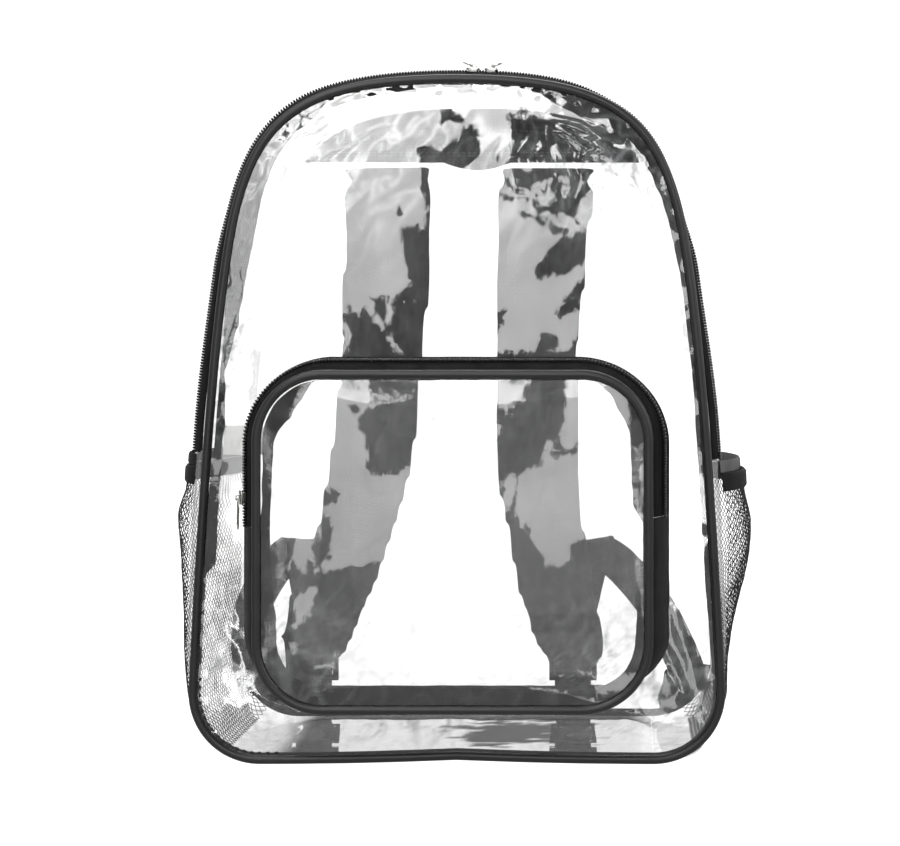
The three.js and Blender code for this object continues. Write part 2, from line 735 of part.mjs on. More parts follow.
function strap(rows) {
  const sections = rows.map(({ up, across, wide, thick }) => {
    const z = lerp(STRAP_END_Z, bandZ - GAP, up);
    const half = (STRAP_THICKNESS * thick) / 2;
    const y = BACK_Y + GAP + strapStandoff(up) + half;
    return Array.from({ length: STRAP_SIDES }, (_, j) => {
      const a = (j / STRAP_SIDES) * 2 * Math.PI;
      const c = Math.cos(a);
      const s = Math.sin(a);
      const x = (across * WIDTH) / 2 + Math.sign(c) * Math.abs(c) ** 0.6 * (STRAP_WIDTH * wide) / 2;
      return new THREE.Vector3(x, y + Math.sign(s) * Math.abs(s) ** 0.7 * half, z);
    });
  });
  return rod(sections);
}

// A flat band along a smooth path. Each row has its centre and the slant of its width from level.
function ribbon(rows, width, thickness, steps, upright = false) {
  const path = new THREE.CatmullRomCurve3(rows.map((r) => r.at), false, "centripetal");
  const last = rows.length - 1;
  const [near, far] = [[], []];
  for (let i = 0; i <= last * steps; i++) {
    const t = i / (last * steps);
    const k = Math.min(Math.floor(t * last), last - 1);
    const slant = THREE.MathUtils.degToRad(lerp(rows[k].slant, rows[k + 1].slant, t * last - k));
    const wide = upright
      ? new THREE.Vector3(0, Math.sin(slant), Math.cos(slant))
      : new THREE.Vector3(Math.cos(slant), 0, Math.sin(slant));
    const tangent = path.getTangent(clamp(t, 1e-4, 1 - 1e-4));
    wide.addScaledVector(tangent, -wide.dot(tangent)).normalize();
    const thick = new THREE.Vector3().crossVectors(tangent, wide).normalize();
    const p = path.getPoint(t);
    const edge = (side, lift) =>
      p.clone().addScaledVector(wide, (side * width) / 2).addScaledVector(thick, (lift * thickness) / 2);
    near.push([edge(-1, 1), edge(1, 1)]);
    far.push([edge(-1, -1), edge(1, -1)]);
  }
  return wall(near, far);
}

function haulLoop() {
  const y = BACK_Y + 3 * GAP + BINDING + WEBBING / 2;
  const v = (share, out, drop) => ({
    at: new THREE.Vector3((share * HAUL_SPAN) / 2, y + out * HAUL_STANDOFF, HEIGHT - HAUL_BELOW - drop * HAUL_DROOP),
    slant: -8 * out,
  });
  const rows = [v(-1, 0, 0), v(-0.72, 0.2, 0.15), v(-0.38, 0.8, 0.7), v(0, 1, 1)];
  const mirrored = [v(0.38, 0.8, 0.7), v(0.72, 0.2, 0.15), v(1, 0, 0)];
  return ribbon([...rows, ...mirrored], WEBBING_WIDTH, WEBBING, 2, true);
}

// The adjuster behind a strap's lower end, its frame from its own sizes.
const lockX = (rows) => ((rows[1].across + rows[2].across) * WIDTH) / 4;
const lockFrontY = BACK_Y + GAP + strapStandoff(0.08) + STRAP_THICKNESS * 0.8 + WEBBING + 3 * GAP + LOCK_AIR;
const lockTopZ = LOCK_Z + LOCK_HEIGHT;

function ladderLock(rows) {
  const x = lockX(rows);
  const frame = new THREE.Shape();
  frame.moveTo(-LOCK_WIDTH / 2, 0);
  frame.lineTo(LOCK_WIDTH / 2, 0);
  frame.lineTo(LOCK_WIDTH / 2, LOCK_HEIGHT);
  frame.lineTo(-LOCK_WIDTH / 2, LOCK_HEIGHT);
  const slotHalf = LOCK_WIDTH / 2 - LOCK_BAR + GAP;
  const slotHeight = (LOCK_HEIGHT - 3 * LOCK_BAR) / 2;
  for (const low of [LOCK_BAR, 2 * LOCK_BAR + slotHeight]) {
    const slot = new THREE.Path();
    slot.moveTo(-slotHalf, low);
    slot.lineTo(-slotHalf, low + slotHeight);
    slot.lineTo(slotHalf, low + slotHeight);
    slot.lineTo(slotHalf, low);
    frame.holes.push(slot);
  }
  const geometry = new THREE.ExtrudeGeometry(frame, { depth: LOCK_THICKNESS, bevelEnabled: false });
  geometry.rotateX(Math.PI / 2);
  geometry.translate(x, lockFrontY + LOCK_THICKNESS, LOCK_Z);
  return geometry;
}

// The short webbing that holds the adjuster's upper bar to the back of the strap.
function lockLoop(rows) {
  const x = lockX(rows);
  const clear = LOCK_CLEAR;
  const strapY = BACK_Y + GAP + strapStandoff(0.1) + STRAP_THICKNESS * 0.85 + GAP + FABRIC;
  const rear = lockFrontY + LOCK_THICKNESS + clear;
  const front = lockFrontY - clear;
  const under = lockTopZ - LOCK_BAR - clear;
  const over = lockTopZ + clear;
  const v = (y, z) => ({ at: new THREE.Vector3(x, y, z), slant: 0 });
  const rowsOfLoop = [
    v(strapY, over + 1),
    v(front, lockTopZ - 1),
    v(front, under + 1),
    v(lockFrontY + LOCK_THICKNESS / 2, under),
    v(rear, under + 1),
    v(rear, lockTopZ - 0.5),
    v(lockFrontY, over + 2.5),
    v(strapY, over + ABOVE_LOCK),
  ];
  return ribbon(rowsOfLoop, WEBBING_WIDTH, FABRIC, 2);
}

// The lower webbing: from the corner tab up to where it turns over, down behind the strap,
// through the adjuster and out as a tail.
function lowerWebbing(rows, loopX, slant) {
  const side = Math.sign(rows[0].across);
  const x = lockX(rows);
  const cornerY = tabY + FABRIC + 2 * GAP + WEBBING / 2;
  const corner = new THREE.Vector3(side * (WIDTH / 2 - CORNER_R * 0.3), cornerY, CORNER_R * 0.42);
  const frontY = lockFrontY + LOCK_THICKNESS + LOCK_CLEAR + (FABRIC + WEBBING) / 2 + 2 * GAP;
  const rearY = frontY + LOOP_DEPTH;
  const turn = new THREE.Vector3(loopX, (frontY + rearY) / 2, LOOP_TOP_Z);
  const bow = (t) => side * LOOP_BOW * Math.sin(Math.PI * t);
  const along = (t, y) => new THREE.Vector3(lerp(corner.x, turn.x, t) + bow(t), y, lerp(corner.z, turn.z, t));
  const lower = LOCK_Z + LOCK_BAR + (LOCK_HEIGHT - 3 * LOCK_BAR) / 4;
  const v = (at, s) => ({ at, slant: s });
  const down = (t, y) => new THREE.Vector3(lerp(turn.x, x, t), y, lerp(turn.z, lockTopZ + ABOVE_LOCK, t));
  const front = lockFrontY - GAP - WEBBING;
  return ribbon(
    [
      v(corner, slant),
      v(along(0.22, lerp(corner.y, frontY, 0.45)), slant),
      v(along(0.55, lerp(corner.y, frontY, 0.9)), slant),
      v(along(0.84, frontY), slant * 0.8),
      v(new THREE.Vector3(turn.x, frontY, turn.z - LOOP_DEPTH / 2), slant * 0.5),
      v(turn, slant * 0.3),
      v(new THREE.Vector3(turn.x, rearY, turn.z - LOOP_DEPTH / 2), slant * 0.1),
      v(down(0.3, rearY), 0),
      v(down(0.6, rearY - LOOP_DEPTH * 0.3), 0),
      v(new THREE.Vector3(x, frontY + GAP, lockTopZ), 0),
      v(new THREE.Vector3(x, frontY - 2 * GAP, lower + ABOVE_LOCK), 0),
      v(new THREE.Vector3(x, lockFrontY + LOCK_THICKNESS / 2, lower), 0),
      v(new THREE.Vector3(x, front, lower - BELOW_LOCK), 0),
      v(new THREE.Vector3(x, front, TAIL_Z), 0),
    ],
    WEBBING_WIDTH,
    WEBBING,
    3,
  );
}

const tabY = BACK_Y + 2 * GAP + BINDING;

function cornerTab(left) {
  const [from, to] = left ? [body.end - 1.9, body.end - 1.1] : [1.1, 1.9];
  const stations = body.stations(from, to);
  const grid = (y) =>
    stations.map((st, i) => {
      const reach = lerp(TAB_REACH.ends, TAB_REACH.middle, Math.sin((i / (stations.length - 1)) * Math.PI));
      return [-GAP, -CORNER_TAB * reach].map((o) => offsetPoint(st, o, y));
    });
  return wall(grid(tabY), grid(tabY + FABRIC));
}

// Side pockets

const netSides = {
  left: { hemZ: HEM_Z_LEFT, bulge: NET_BULGE_LEFT, fullness: (v) => v ** 1.2 },
  right: { hemZ: HEM_Z_RIGHT, bulge: NET_BULGE_RIGHT, fullness: (v) => smoothstep(v, 0.3, 0.75) },
};
const NET_LOW = 1.35; // where on the lower corner the net begins

function netLift(side, st, y) {
  const low = body.station(NET_LOW).z;
  const v = clamp((st.z - low) / (side.hemZ - low), 0, 1);
  const share = clamp((y - FRONT_Y) / DEPTH, 0, 1);
  return side.bulge * side.fullness(v) * Math.sin(Math.PI * share) ** 0.8;
}

function meshPocket(side, left) {
  const top = body.placeAtHeight(2, side.hemZ, left);
  const [from, to] = left ? [top, body.end - NET_LOW] : [NET_LOW, top];
  return gussetStrip(from, to, sideDepths, NET, (st, y) => netLift(side, st, y) + GAP + NET);
}

function meshHem(side, left) {
  const low = body.placeAtHeight(2, side.hemZ + GAP, left);
  const high = body.placeAtHeight(2, side.hemZ + HEM_HEIGHT, left);
  const [from, to] = left ? [high, low] : [low, high];
  const lift = (st, y) => netLift(side, st, y) + GAP + HEM_THICKNESS;
  return gussetStrip(from, to, sideDepths, HEM_THICKNESS, lift);
}

function zipEndTape(side, zipEnd, left) {
  const low = body.placeAtHeight(2, zipEnd - END_TAPE, left);
  const high = body.placeAtHeight(2, zipEnd - GAP, left);
  const [from, to] = left ? [high, low] : [low, high];
  const lift = (st, y) => netLift(side, st, y) * END_TAPE_STANDOFF + GAP + FABRIC;
  return gussetStrip(from, to, sideDepths, FABRIC, lift);
}

function careLabel() {
  const label = new THREE.BoxGeometry(LABEL_WIDTH, LABEL_THICKNESS, LABEL_HEIGHT);
  const z = ZIP_END_LEFT + LABEL_LIFT;
  const x = -body.halfWidth(z) + LABEL_INSET + LABEL_WIDTH / 2;
  label.translate(x, FRONT_Y + VINYL / 2 + 2 * GAP + SEAM_THICKNESS + LABEL_THICKNESS / 2, z);
  return label;
}

// Materials
const clearVinyl = { color: 0xf4f6f6, roughness: 0.08, metalness: 0, transparent: true, opacity: 0.35 };
const blackPvc = { color: 0x1b1b1b, roughness: 0.35, metalness: 0 };
const blackTape = { color: 0x191919, roughness: 0.8, metalness: 0 };
const blackNylon = { color: 0x202020, roughness: 0.75, metalness: 0 };
const strapFabric = { color: 0x2c2c2c, roughness: 0.85, metalness: 0 };
const webbingFabric = { color: 0x262626, roughness: 0.8, metalness: 0 };
const netFabric = { color: 0x181818, roughness: 0.8, metalness: 0, transparent: true, opacity: 0.6 };
const nickel = { color: 0xc9c9c9, roughness: 0.25, metalness: 1 };
const blackPlastic = { color: 0x1e1e1e, roughness: 0.4, metalness: 0 };
const whiteLabel = { color: 0xf2f2f0, roughness: 0.7, metalness: 0 };

const bag = new THREE.Group();

function place(name, geometry, look, matrix) {
  const shaded = geometry.index ? geometry.toNonIndexed() : geometry;
  shaded.deleteAttribute("normal");
  shaded.computeVertexNormals();
  const mesh = new THREE.Mesh(shaded, new THREE.MeshStandardMaterial(look));
  mesh.name = name;
  if (matrix) mesh.applyMatrix4(matrix);
  bag.add(mesh);
}

place("front_panel", frontPanel(), clearVinyl);
place("back_panel", backPanel(), clearVinyl);
place("upper_gusset", upperGusset(), clearVinyl);
place("side_panel_left", sidePanel(true), clearVinyl);
place("side_panel_right", sidePanel(false), clearVinyl);
place("bottom_panel", bottomPanel(), clearVinyl);

place("main_tape_front", mainTape(tapeFrontY), blackTape);
place("main_tape_rear", mainTape(tapeRearY), blackTape);
place("main_coil", mainCoil(), blackPlastic);
["left", "right"].forEach((side, i) => {
  const frame = zipFrame(mainCoilPoint, topPlaceAt(SLIDER_X[i]), i ? -1 : 1);
  place("main_slider_" + side, sliderBody(), nickel, frame);
  place("main_pull_" + side, wirePull(PULL_LENGTH, PULL_WIDTH, PULL_LEAN), nickel, frame);
});

place("main_piping", pipingRing(body, FRONT_Y), blackPvc);
place("front_seam", frontSeam(), blackTape);
place("back_bottom_binding", backBottomBinding(), blackNylon);

place("pocket_panel", pocketPanel(), clearVinyl);
place("pocket_gusset", pocketGusset(), blackNylon);
place("pocket_tape_front", pocketTapeFront(), blackTape);
place("pocket_tape_rear", pocketTapeRear(), blackTape);
place("pocket_coil", pocketCoil(), blackPlastic);
place("pocket_piping", pipingRing(pocket, pocketY), blackPvc);
place("pocket_seam", pocketSeam(), blackNylon);
const pocketSliderPlace = pocket.placeAtHeight(2, POCKET_SLIDER_Z, true);
const pocketSliderFrame = zipFrame(pocketCoilPoint, pocketSliderPlace, 1);
place("pocket_slider", sliderBody(), nickel, pocketSliderFrame);
const pocketPull = wirePull(POCKET_PULL_LENGTH, PULL_WIDTH, POCKET_PULL_LEAN);
place("pocket_pull", pocketPull, nickel, pocketSliderFrame);

place("top_band", topBand(), blackNylon);
place("haul_loop", haulLoop(), webbingFabric);
for (const [side, rows, loopX, slant] of [
  ["left", LEFT_STRAP, -LOOP_X_LEFT, -14],
  ["right", RIGHT_STRAP, LOOP_X_RIGHT, 33],
]) {
  const left = side === "left";
  place("strap_" + side, strap(rows), strapFabric);
  place("ladder_lock_" + side, ladderLock(rows), blackPlastic);
  place("lock_loop_" + side, lockLoop(rows), webbingFabric);
  place("webbing_" + side, lowerWebbing(rows, loopX, slant), webbingFabric);
  place("corner_tab_" + side, cornerTab(left), blackNylon);
  place("mesh_pocket_" + side, meshPocket(netSides[side], left), netFabric);
  place("mesh_hem_" + side, meshHem(netSides[side], left), blackNylon);
  const zipEnd = left ? ZIP_END_LEFT : ZIP_END_RIGHT;
  place("zip_end_tape_" + side, zipEndTape(netSides[side], zipEnd, left), blackNylon);
}
place("care_label", careLabel(), whiteLabel);

export default bag;
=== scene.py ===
"""A clear vinyl day backpack, dressed around its solid frame.

Lengths in this file are millimetres unless a name or a docstring says otherwise. They are turned into
metres where a mesh is made. +Z is up, the front faces -Y and +X is to the right from the front.
"""

from __future__ import annotations

import logging
import math
from dataclasses import dataclass, field
from enum import Enum
from typing import Callable, Sequence

import bpy
import numpy as np
from mathutils import Matrix, Vector, noise


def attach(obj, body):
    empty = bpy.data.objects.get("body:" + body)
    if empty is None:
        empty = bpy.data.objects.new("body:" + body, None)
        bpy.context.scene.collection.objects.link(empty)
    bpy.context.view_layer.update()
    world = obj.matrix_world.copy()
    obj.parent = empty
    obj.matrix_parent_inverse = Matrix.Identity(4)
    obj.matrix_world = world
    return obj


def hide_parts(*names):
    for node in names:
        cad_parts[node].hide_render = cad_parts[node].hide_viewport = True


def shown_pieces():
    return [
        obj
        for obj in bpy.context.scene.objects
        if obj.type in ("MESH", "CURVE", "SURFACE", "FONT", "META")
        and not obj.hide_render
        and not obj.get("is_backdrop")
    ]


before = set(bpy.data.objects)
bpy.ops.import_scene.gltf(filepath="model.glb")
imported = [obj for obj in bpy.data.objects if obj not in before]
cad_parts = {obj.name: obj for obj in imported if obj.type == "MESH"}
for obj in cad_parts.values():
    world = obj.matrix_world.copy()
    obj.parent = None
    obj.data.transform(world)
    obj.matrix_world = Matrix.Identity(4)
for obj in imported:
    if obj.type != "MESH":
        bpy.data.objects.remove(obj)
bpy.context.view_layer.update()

log = logging.getLogger("backpack")
MM = 0.001
Array = np.ndarray


# Numbers and noise


def lerp(a: Array | float, b: Array | float, t: Array | float) -> Array | float:
    """Returns the value a share t of the way from a to b."""
    return a + (b - a) * t


def smoothstep(x: Array | float, low: float, high: float) -> Array | float:
    """Returns a smooth step from 0 at low to 1 at high."""
    t = np.clip((x - low) / (high - low), 0.0, 1.0)
    return t * t * (3.0 - 2.0 * t)


def smooth_noise(x: Array, y: Array, seed: float) -> Array:
    """Gradient noise at many points.

    Args:
        x: First coordinate, in cells.
        y: Second coordinate, in cells, of the same shape.
        seed: Picks the layer of the noise.

    Returns:
        Values of about -1 to 1 in the shape of x.
    """
    x, y = np.broadcast_arrays(x, y)
    flat = [noise.noise(Vector((a, b, seed))) for a, b in zip(x.ravel(), y.ravel())]
    return np.array(flat).reshape(x.shape)


def linear(hex_colour: str) -> tuple[float, float, float, float]:
    """Returns an sRGB hex colour as linear red, green, blue and alpha."""
    shares = [int(hex_colour[i : i + 2], 16) / 255 for i in (1, 3, 5)]
    out = [c / 12.92 if c <= 0.04045 else ((c + 0.055) / 1.055) ** 2.4 for c in shares]
    return (out[0], out[1], out[2], 1.0)


# Outlines in the X-Z plane


@dataclass(frozen=True)
class Bezier:
    """A Bezier curve of two, three or four points."""

    points: tuple[tuple[float, float], ...]

    def at(self, t: float) -> Array:
        """Returns the point at a share of the curve."""
        p = np.array(self.points, float)
        while len(p) > 1:
            p = p[:-1] + (p[1:] - p[:-1]) * t
        return p[0]

    def along(self, t: float) -> Array:
        """Returns the unit direction at a share of the curve."""
        t = min(max(t, 1e-4), 1 - 1e-4)
        d = self.at(t + 1e-4) - self.at(t - 1e-4)
        return d / np.linalg.norm(d)


@dataclass(frozen=True)
class Arc:
    """A circular arc between two angles in degrees."""

    centre: tuple[float, float]
    radius: float
    start: float
    end: float

    def at(self, t: float) -> Array:
        """Returns the point at a share of the arc."""
        a = math.radians(lerp(self.start, self.end, t))
        return np.array(self.centre) + self.radius * np.array([math.cos(a), math.sin(a)])

    def along(self, t: float) -> Array:
        """Returns the unit direction at a share of the arc."""
        a = math.radians(lerp(self.start, self.end, t))
        return np.array([-math.sin(a), math.cos(a)])


@dataclass
class Stations:
    """Points of an outline with their outward directions, as arrays of one length."""

    place: Array
    x: Array
    z: Array
    nx: Array
    nz: Array
    run: Array

    def column(self) -> Stations:
        """Returns the same stations as columns, to be crossed with a row of depths."""
        return Stations(*(v[:, None] for v in (self.place, self.x, self.z, self.nx, self.nz, self.run)))

    def offset(self, by: Array | float, y: Array | float) -> Array:
        """Returns points that far outside the outline at that depth, with X, Y and Z last."""
        x, yy, z = np.broadcast_arrays(self.x + self.nx * by, y, self.z + self.nz * by)
        return np.stack([x, yy, z], -1)


class Outline:
    """A symmetric closed outline from the curves of its right half, bottom to top.

    A place on it is a number: 0 is the bottom middle and whole numbers are the joints between the
    curves, going up the right side, over the top and down the left side.
    """

    def __init__(self, half: Sequence[Bezier | Arc]) -> None:
        """Keeps the curves and tables how far each place is along the outline."""
        self.half = list(half)
        self.top = len(self.half)
        self.end = 2 * self.top
        self._places = np.linspace(0, self.end, self.end * 80 + 1)
        points = np.array([self._one(p)[:2] for p in self._places])
        steps = np.linalg.norm(np.diff(points, axis=0), axis=1)
        self._runs = np.concatenate([[0.0], np.cumsum(steps)])
        self.points = points

    def _one(self, place: float) -> tuple[float, float, float, float]:
        """Returns x, z and the outward direction at a place."""
        whole = place % self.end
        mirrored = whole > self.top
        right = self.end - whole if mirrored else whole
        k = min(int(right), self.top - 1)
        point, tangent = self.half[k].at(right - k), self.half[k].along(right - k)
        side = -1.0 if mirrored else 1.0
        return side * point[0], point[1], side * tangent[1], -tangent[0]

    def at(self, places: Array) -> Stations:
        """Returns the stations at some places."""
        rows = np.array([self._one(float(p)) for p in places])
        run = np.interp(places % self.end, self._places, self._runs)
        return Stations(np.asarray(places), rows[:, 0], rows[:, 1], rows[:, 2], rows[:, 3], run)

    def run_to(self, place: float) -> float:
        """Returns the length from the bottom middle to a place, past a full turn too."""
        turns, rest = divmod(place, self.end)
        return turns * self._runs[-1] + float(np.interp(rest, self._places, self._runs))

    def even(self, start: float, end: float, pitch: float) -> Stations:
        """Stations a pitch apart from one place to another, both ends included.

        Args:
            start: First place.
            end: Last place, which may pass a full turn.
            pitch: Distance between stations.

        Returns:
            The stations, with their run from the first one.
        """
        a, b = self.run_to(start), self.run_to(end)
        count = max(2, round((b - a) / pitch))
        runs = np.linspace(a, b, count + 1)
        places = np.interp(runs % self._runs[-1], self._runs, self._places)
        places[0], places[-1] = start, end
        out = self.at(places)
        out.run = runs - a
        return out

    def ring(self, pitch: float) -> Stations:
        """Returns even stations once round, without the last one, which is the first again."""
        s = self.even(0, self.end - 1e-9, pitch)
        return Stations(*(v[:-1] for v in (s.place, s.x, s.z, s.nx, s.nz, s.run)))

    def at_height(self, curve: int, z: float, left: bool = False) -> float:
        """Returns the place on one curve where the outline reaches a height."""
        low, high = float(curve), float(curve + 1)
        for _ in range(40):
            middle = (low + high) / 2
            if self._one(middle)[1] < z:
                low = middle
            else:
                high = middle
        return self.end - low if left else low

    def at_width(self, curve: int, x: float) -> float:
        """Returns the place on one curve of the right half where it comes in to a distance x."""
        low, high = float(curve), float(curve + 1)
        for _ in range(40):
            middle = (low + high) / 2
            if self._one(middle)[0] > x:
                low = middle
            else:
                high = middle
        return low

    def edge_distance(self, x: Array, z: Array) -> Array:
        """Returns how far points inside lie from the outline, roughly."""
        ring = self.points[::4]
        d = np.hypot(x[..., None] - ring[:, 0], z[..., None] - ring[:, 1])
        return d.min(-1)

    def area(self) -> float:
        """Returns the area inside, in square millimetres."""
        x, z = self.points[:, 0], self.points[:, 1]
        return abs(float(np.sum(x[:-1] * z[1:] - x[1:] * z[:-1]))) / 2


# The bag's own sizes, the same as its solids'


@dataclass(frozen=True)
class Flare:
    """The share of the gusset's flare that each side has at a share of the height."""

    up: float
    left: float
    right: float


@dataclass(frozen=True)
class Bag:
    """The driving sizes of the body and the shapes that follow from them."""

    width: float = 323
    height: float = 419
    depth: float = 140
    corner_r: float = 41
    shoulder_x: float = 138
    shoulder_z: float = 327
    gusset_flare: float = 11
    bottom_rise: float = 2.5
    front_bulge: float = 4
    vinyl: float = 1
    fabric: float = 1.2
    gap: float = 0.3
    piping_r: float = 2.8
    floor_slope: float = 15
    tape_width: float = 11
    coil_width: float = 6
    coil_height: float = 1.6
    zip_end_left: float = 189.5
    zip_end_right: float = 185
    flare_rows: tuple[Flare, ...] = (
        Flare(0, 0, 0),
        Flare(0.2, 0.82, 0.55),
        Flare(0.5, 1, 0.72),
        Flare(0.72, 0.82, 0.46),
        Flare(0.82, 0.64, 0.13),
        Flare(0.96, 0.68, 0.31),
        Flare(1, 0.57, 0.57),
    )

    @property
    def front_y(self) -> float:
        """Depth of the front seam."""
        return -self.depth / 2

    @property
    def back_y(self) -> float:
        """Depth of the back seam."""
        return self.depth / 2

    @property
    def tape_front_y(self) -> float:
        """Front edge of the zip's front tape."""
        return self.front_y + self.piping_r + self.gap

    @property
    def coil_y(self) -> float:
        """Front edge of the zip's coil."""
        return self.tape_front_y + self.tape_width + self.gap

    @property
    def tape_rear_y(self) -> float:
        """Front edge of the zip's rear tape."""
        return self.coil_y + self.coil_width + self.gap

    @property
    def gusset_y(self) -> float:
        """Front edge of the clear gusset behind the zip."""
        return self.tape_rear_y + self.tape_width + self.gap

    @property
    def gusset_end_y(self) -> float:
        """Rear edge of every gusset panel."""
        return self.back_y - self.vinyl - self.gap

    def outline(self) -> Outline:
        """Returns the outline of the front and back panels at their seams."""
        foot, inner = self.piping_r, self.width / 2 - self.corner_r
        knee, half, sx = foot + self.corner_r, self.width / 2, self.shoulder_x
        rise = lambda up: lerp(knee, self.shoulder_z, up)
        arch = lambda up: lerp(self.shoulder_z, self.height, up)
        return Outline(
            [
                Bezier(((0, foot + self.bottom_rise), (inner / 2, foot), (inner, foot))),
                Arc((inner, knee), self.corner_r, -90, 0),
                Bezier(
                    (
                        (half, knee),
                        (half * 0.972, rise(0.33)),
                        (sx * 1.083, rise(0.78)),
                        (sx, self.shoulder_z),
                    )
                ),
                Bezier(
                    (
                        (sx, self.shoulder_z),
                        (sx * 0.9, arch(0.76)),
                        (sx * 0.69, self.height),
                        (0, self.height),
                    )
                ),
            ]
        )

    def front_swell(self, x: Array, z: Array) -> Array:
        """Returns how far the front panel swells forward at points."""
        mid = self.height / 2
        across = np.clip(1 - (x / (self.width / 2)) ** 2, 0, 1)
        return self.front_bulge * across * np.clip(1 - ((z - mid) / mid) ** 2, 0, 1)

    def foot_rise(self, x: Array, z: Array) -> Array:
        """Returns how far a panel's lowest rows stand up in the middle."""
        inner = self.width / 2 - self.corner_r
        fade = np.clip(1 - (z - self.piping_r) / self.corner_r, 0, 1)
        return self.bottom_rise * np.clip(1 - np.abs(x) / inner, 0, 1) ** 2 * fade

    def flare(self, z: Array, left: Array) -> Array:
        """Returns the gusset's swell at the zip at heights on the left or right side."""
        up = np.clip(z / self.height, 0, 1)
        out = np.zeros_like(up)
        for low, high in zip(self.flare_rows, self.flare_rows[1:]):
            t = smoothstep(up, low.up, high.up)
            here = np.where(left, lerp(low.left, high.left, t), lerp(low.right, high.right, t))
            out = np.where((up >= low.up) & (up <= high.up), here, out)
        return self.gusset_flare * out

    def gusset_offset(self, st: Stations, y: Array | float) -> Array:
        """The gusset's swell outside the seam line at stations and depths.

        Args:
            st: Stations of the outline, as a column where y is a row.
            y: Depths.

        Returns:
            Offsets: fullest at the zip, straighter behind it, and flat on the floor.
        """
        share = np.clip((y - self.front_y) / self.depth, 0, 1)
        zip_share = (self.piping_r + self.gap + self.tape_width + self.coil_width / 2) / self.depth
        shape = (share / zip_share) ** 0.6 * ((1 - share) / (1 - zip_share)) ** 3
        swell = self.flare(st.z, st.x < 0) * shape
        flat = np.clip((self.depth / 2 - np.abs(y)) / self.floor_slope, 0, 1)
        down = smoothstep(-st.nz, 0.6, 0.98)
        return lerp(swell, st.z / np.maximum(-st.nz, 0.5) * flat, down)


BAG = Bag()
BODY = BAG.outline()
ZIP_RIGHT = BODY.at_height(2, BAG.zip_end_right)
ZIP_LEFT = BODY.at_height(2, BAG.zip_end_left, left=True)
SEAM = 0.002  # half a seam's gap, as a share of one curve


# Meshes from grids of points


@dataclass
class Shape:
    """A mesh in the making: points in millimetres, faces, and a flat map in metres."""

    points: Array
    faces: list[tuple[int, ...]]
    flat: Array | None = None
    marks: dict[str, Array] = field(default_factory=dict)

    def outward(self) -> Shape:
        """Returns the shape with its faces turned out, by the sign of its volume."""
        total = 0.0
        for f in self.faces:
            a = self.points[f[0]]
            for i in range(1, len(f) - 1):
                total += float(np.dot(a, np.cross(self.points[f[i]], self.points[f[i + 1]])))
        if total < 0:
            self.faces = [tuple(reversed(f)) for f in self.faces]
        return self

    def __add__(self, other: Shape) -> Shape:
        """Returns both shapes as one, without their maps and marks."""
        n = len(self.points)
        faces = self.faces + [tuple(i + n for i in f) for f in other.faces]
        return Shape(np.concatenate([self.points, other.points]), faces)


def grid_map(rows: Array, columns: Array) -> Array:
    """Returns a flat map in metres for a grid, from its runs along rows and across columns."""
    u, v = np.meshgrid(rows * MM, columns * MM, indexing="ij")
    return np.stack([u, v], -1).reshape(-1, 2)


def wall(
    outer: Array,
    inner: Array,
    closed: bool = False,
    flat: Array | None = None,
    **marks: Array
) -> Shape:
    """A thin closed body between two grids of points.

    Args:
        outer: Points of one face, as rows by columns by 3.
        inner: Points of the other face, in the same order.
        closed: Joins the last row to the first.
        flat: A flat map of one grid, used for both.
        marks: Values of one grid's points, kept as attributes.

    Returns:
        The body with its faces turned out.
    """
    rows, cols = outer.shape[:2]
    n = rows * cols
    faces: list[tuple[int, ...]] = []
    for i in range(rows if closed else rows - 1):
        a, b = i * cols, ((i + 1) % rows) * cols
        for j in range(cols - 1):
            faces.append((a + j, a + j + 1, b + j + 1, b + j))
            faces.append((n + a + j, n + b + j, n + b + j + 1, n + a + j + 1))
        e = cols - 1
        faces.append((a, b, n + b, n + a))
        faces.append((a + e, n + a + e, n + b + e, b + e))
    if not closed:
        e = (rows - 1) * cols
        for j in range(cols - 1):
            faces.append((j, n + j, n + j + 1, j + 1))
            faces.append((e + j, e + j + 1, n + e + j + 1, n + e + j))
    points = np.concatenate([outer.reshape(-1, 3), inner.reshape(-1, 3)])
    both = None if flat is None else np.concatenate([flat, flat])
    doubled = {k: np.concatenate([v.ravel(), v.ravel()]) for k, v in marks.items()}
    return Shape(points, faces, both, doubled).outward()


def rod(sections: Array, closed: bool = False, flat: Array | None = None) -> Shape:
    """A rod through sections of the same number of points, with flat ends or joined in a ring."""
    rows, sides = sections.shape[:2]
    faces: list[tuple[int, ...]] = []
    for i in range(rows if closed else rows - 1):
        a, b = i * sides, ((i + 1) % rows) * sides
        for j in range(sides):
            k = (j + 1) % sides
            faces.append((a + j, a + k, b + k, b + j))
    if not closed:
        faces.append(tuple(reversed(range(sides))))
        faces.append(tuple(range((rows - 1) * sides, rows * sides)))
    return Shape(sections.reshape(-1, 3), faces, flat).outward()


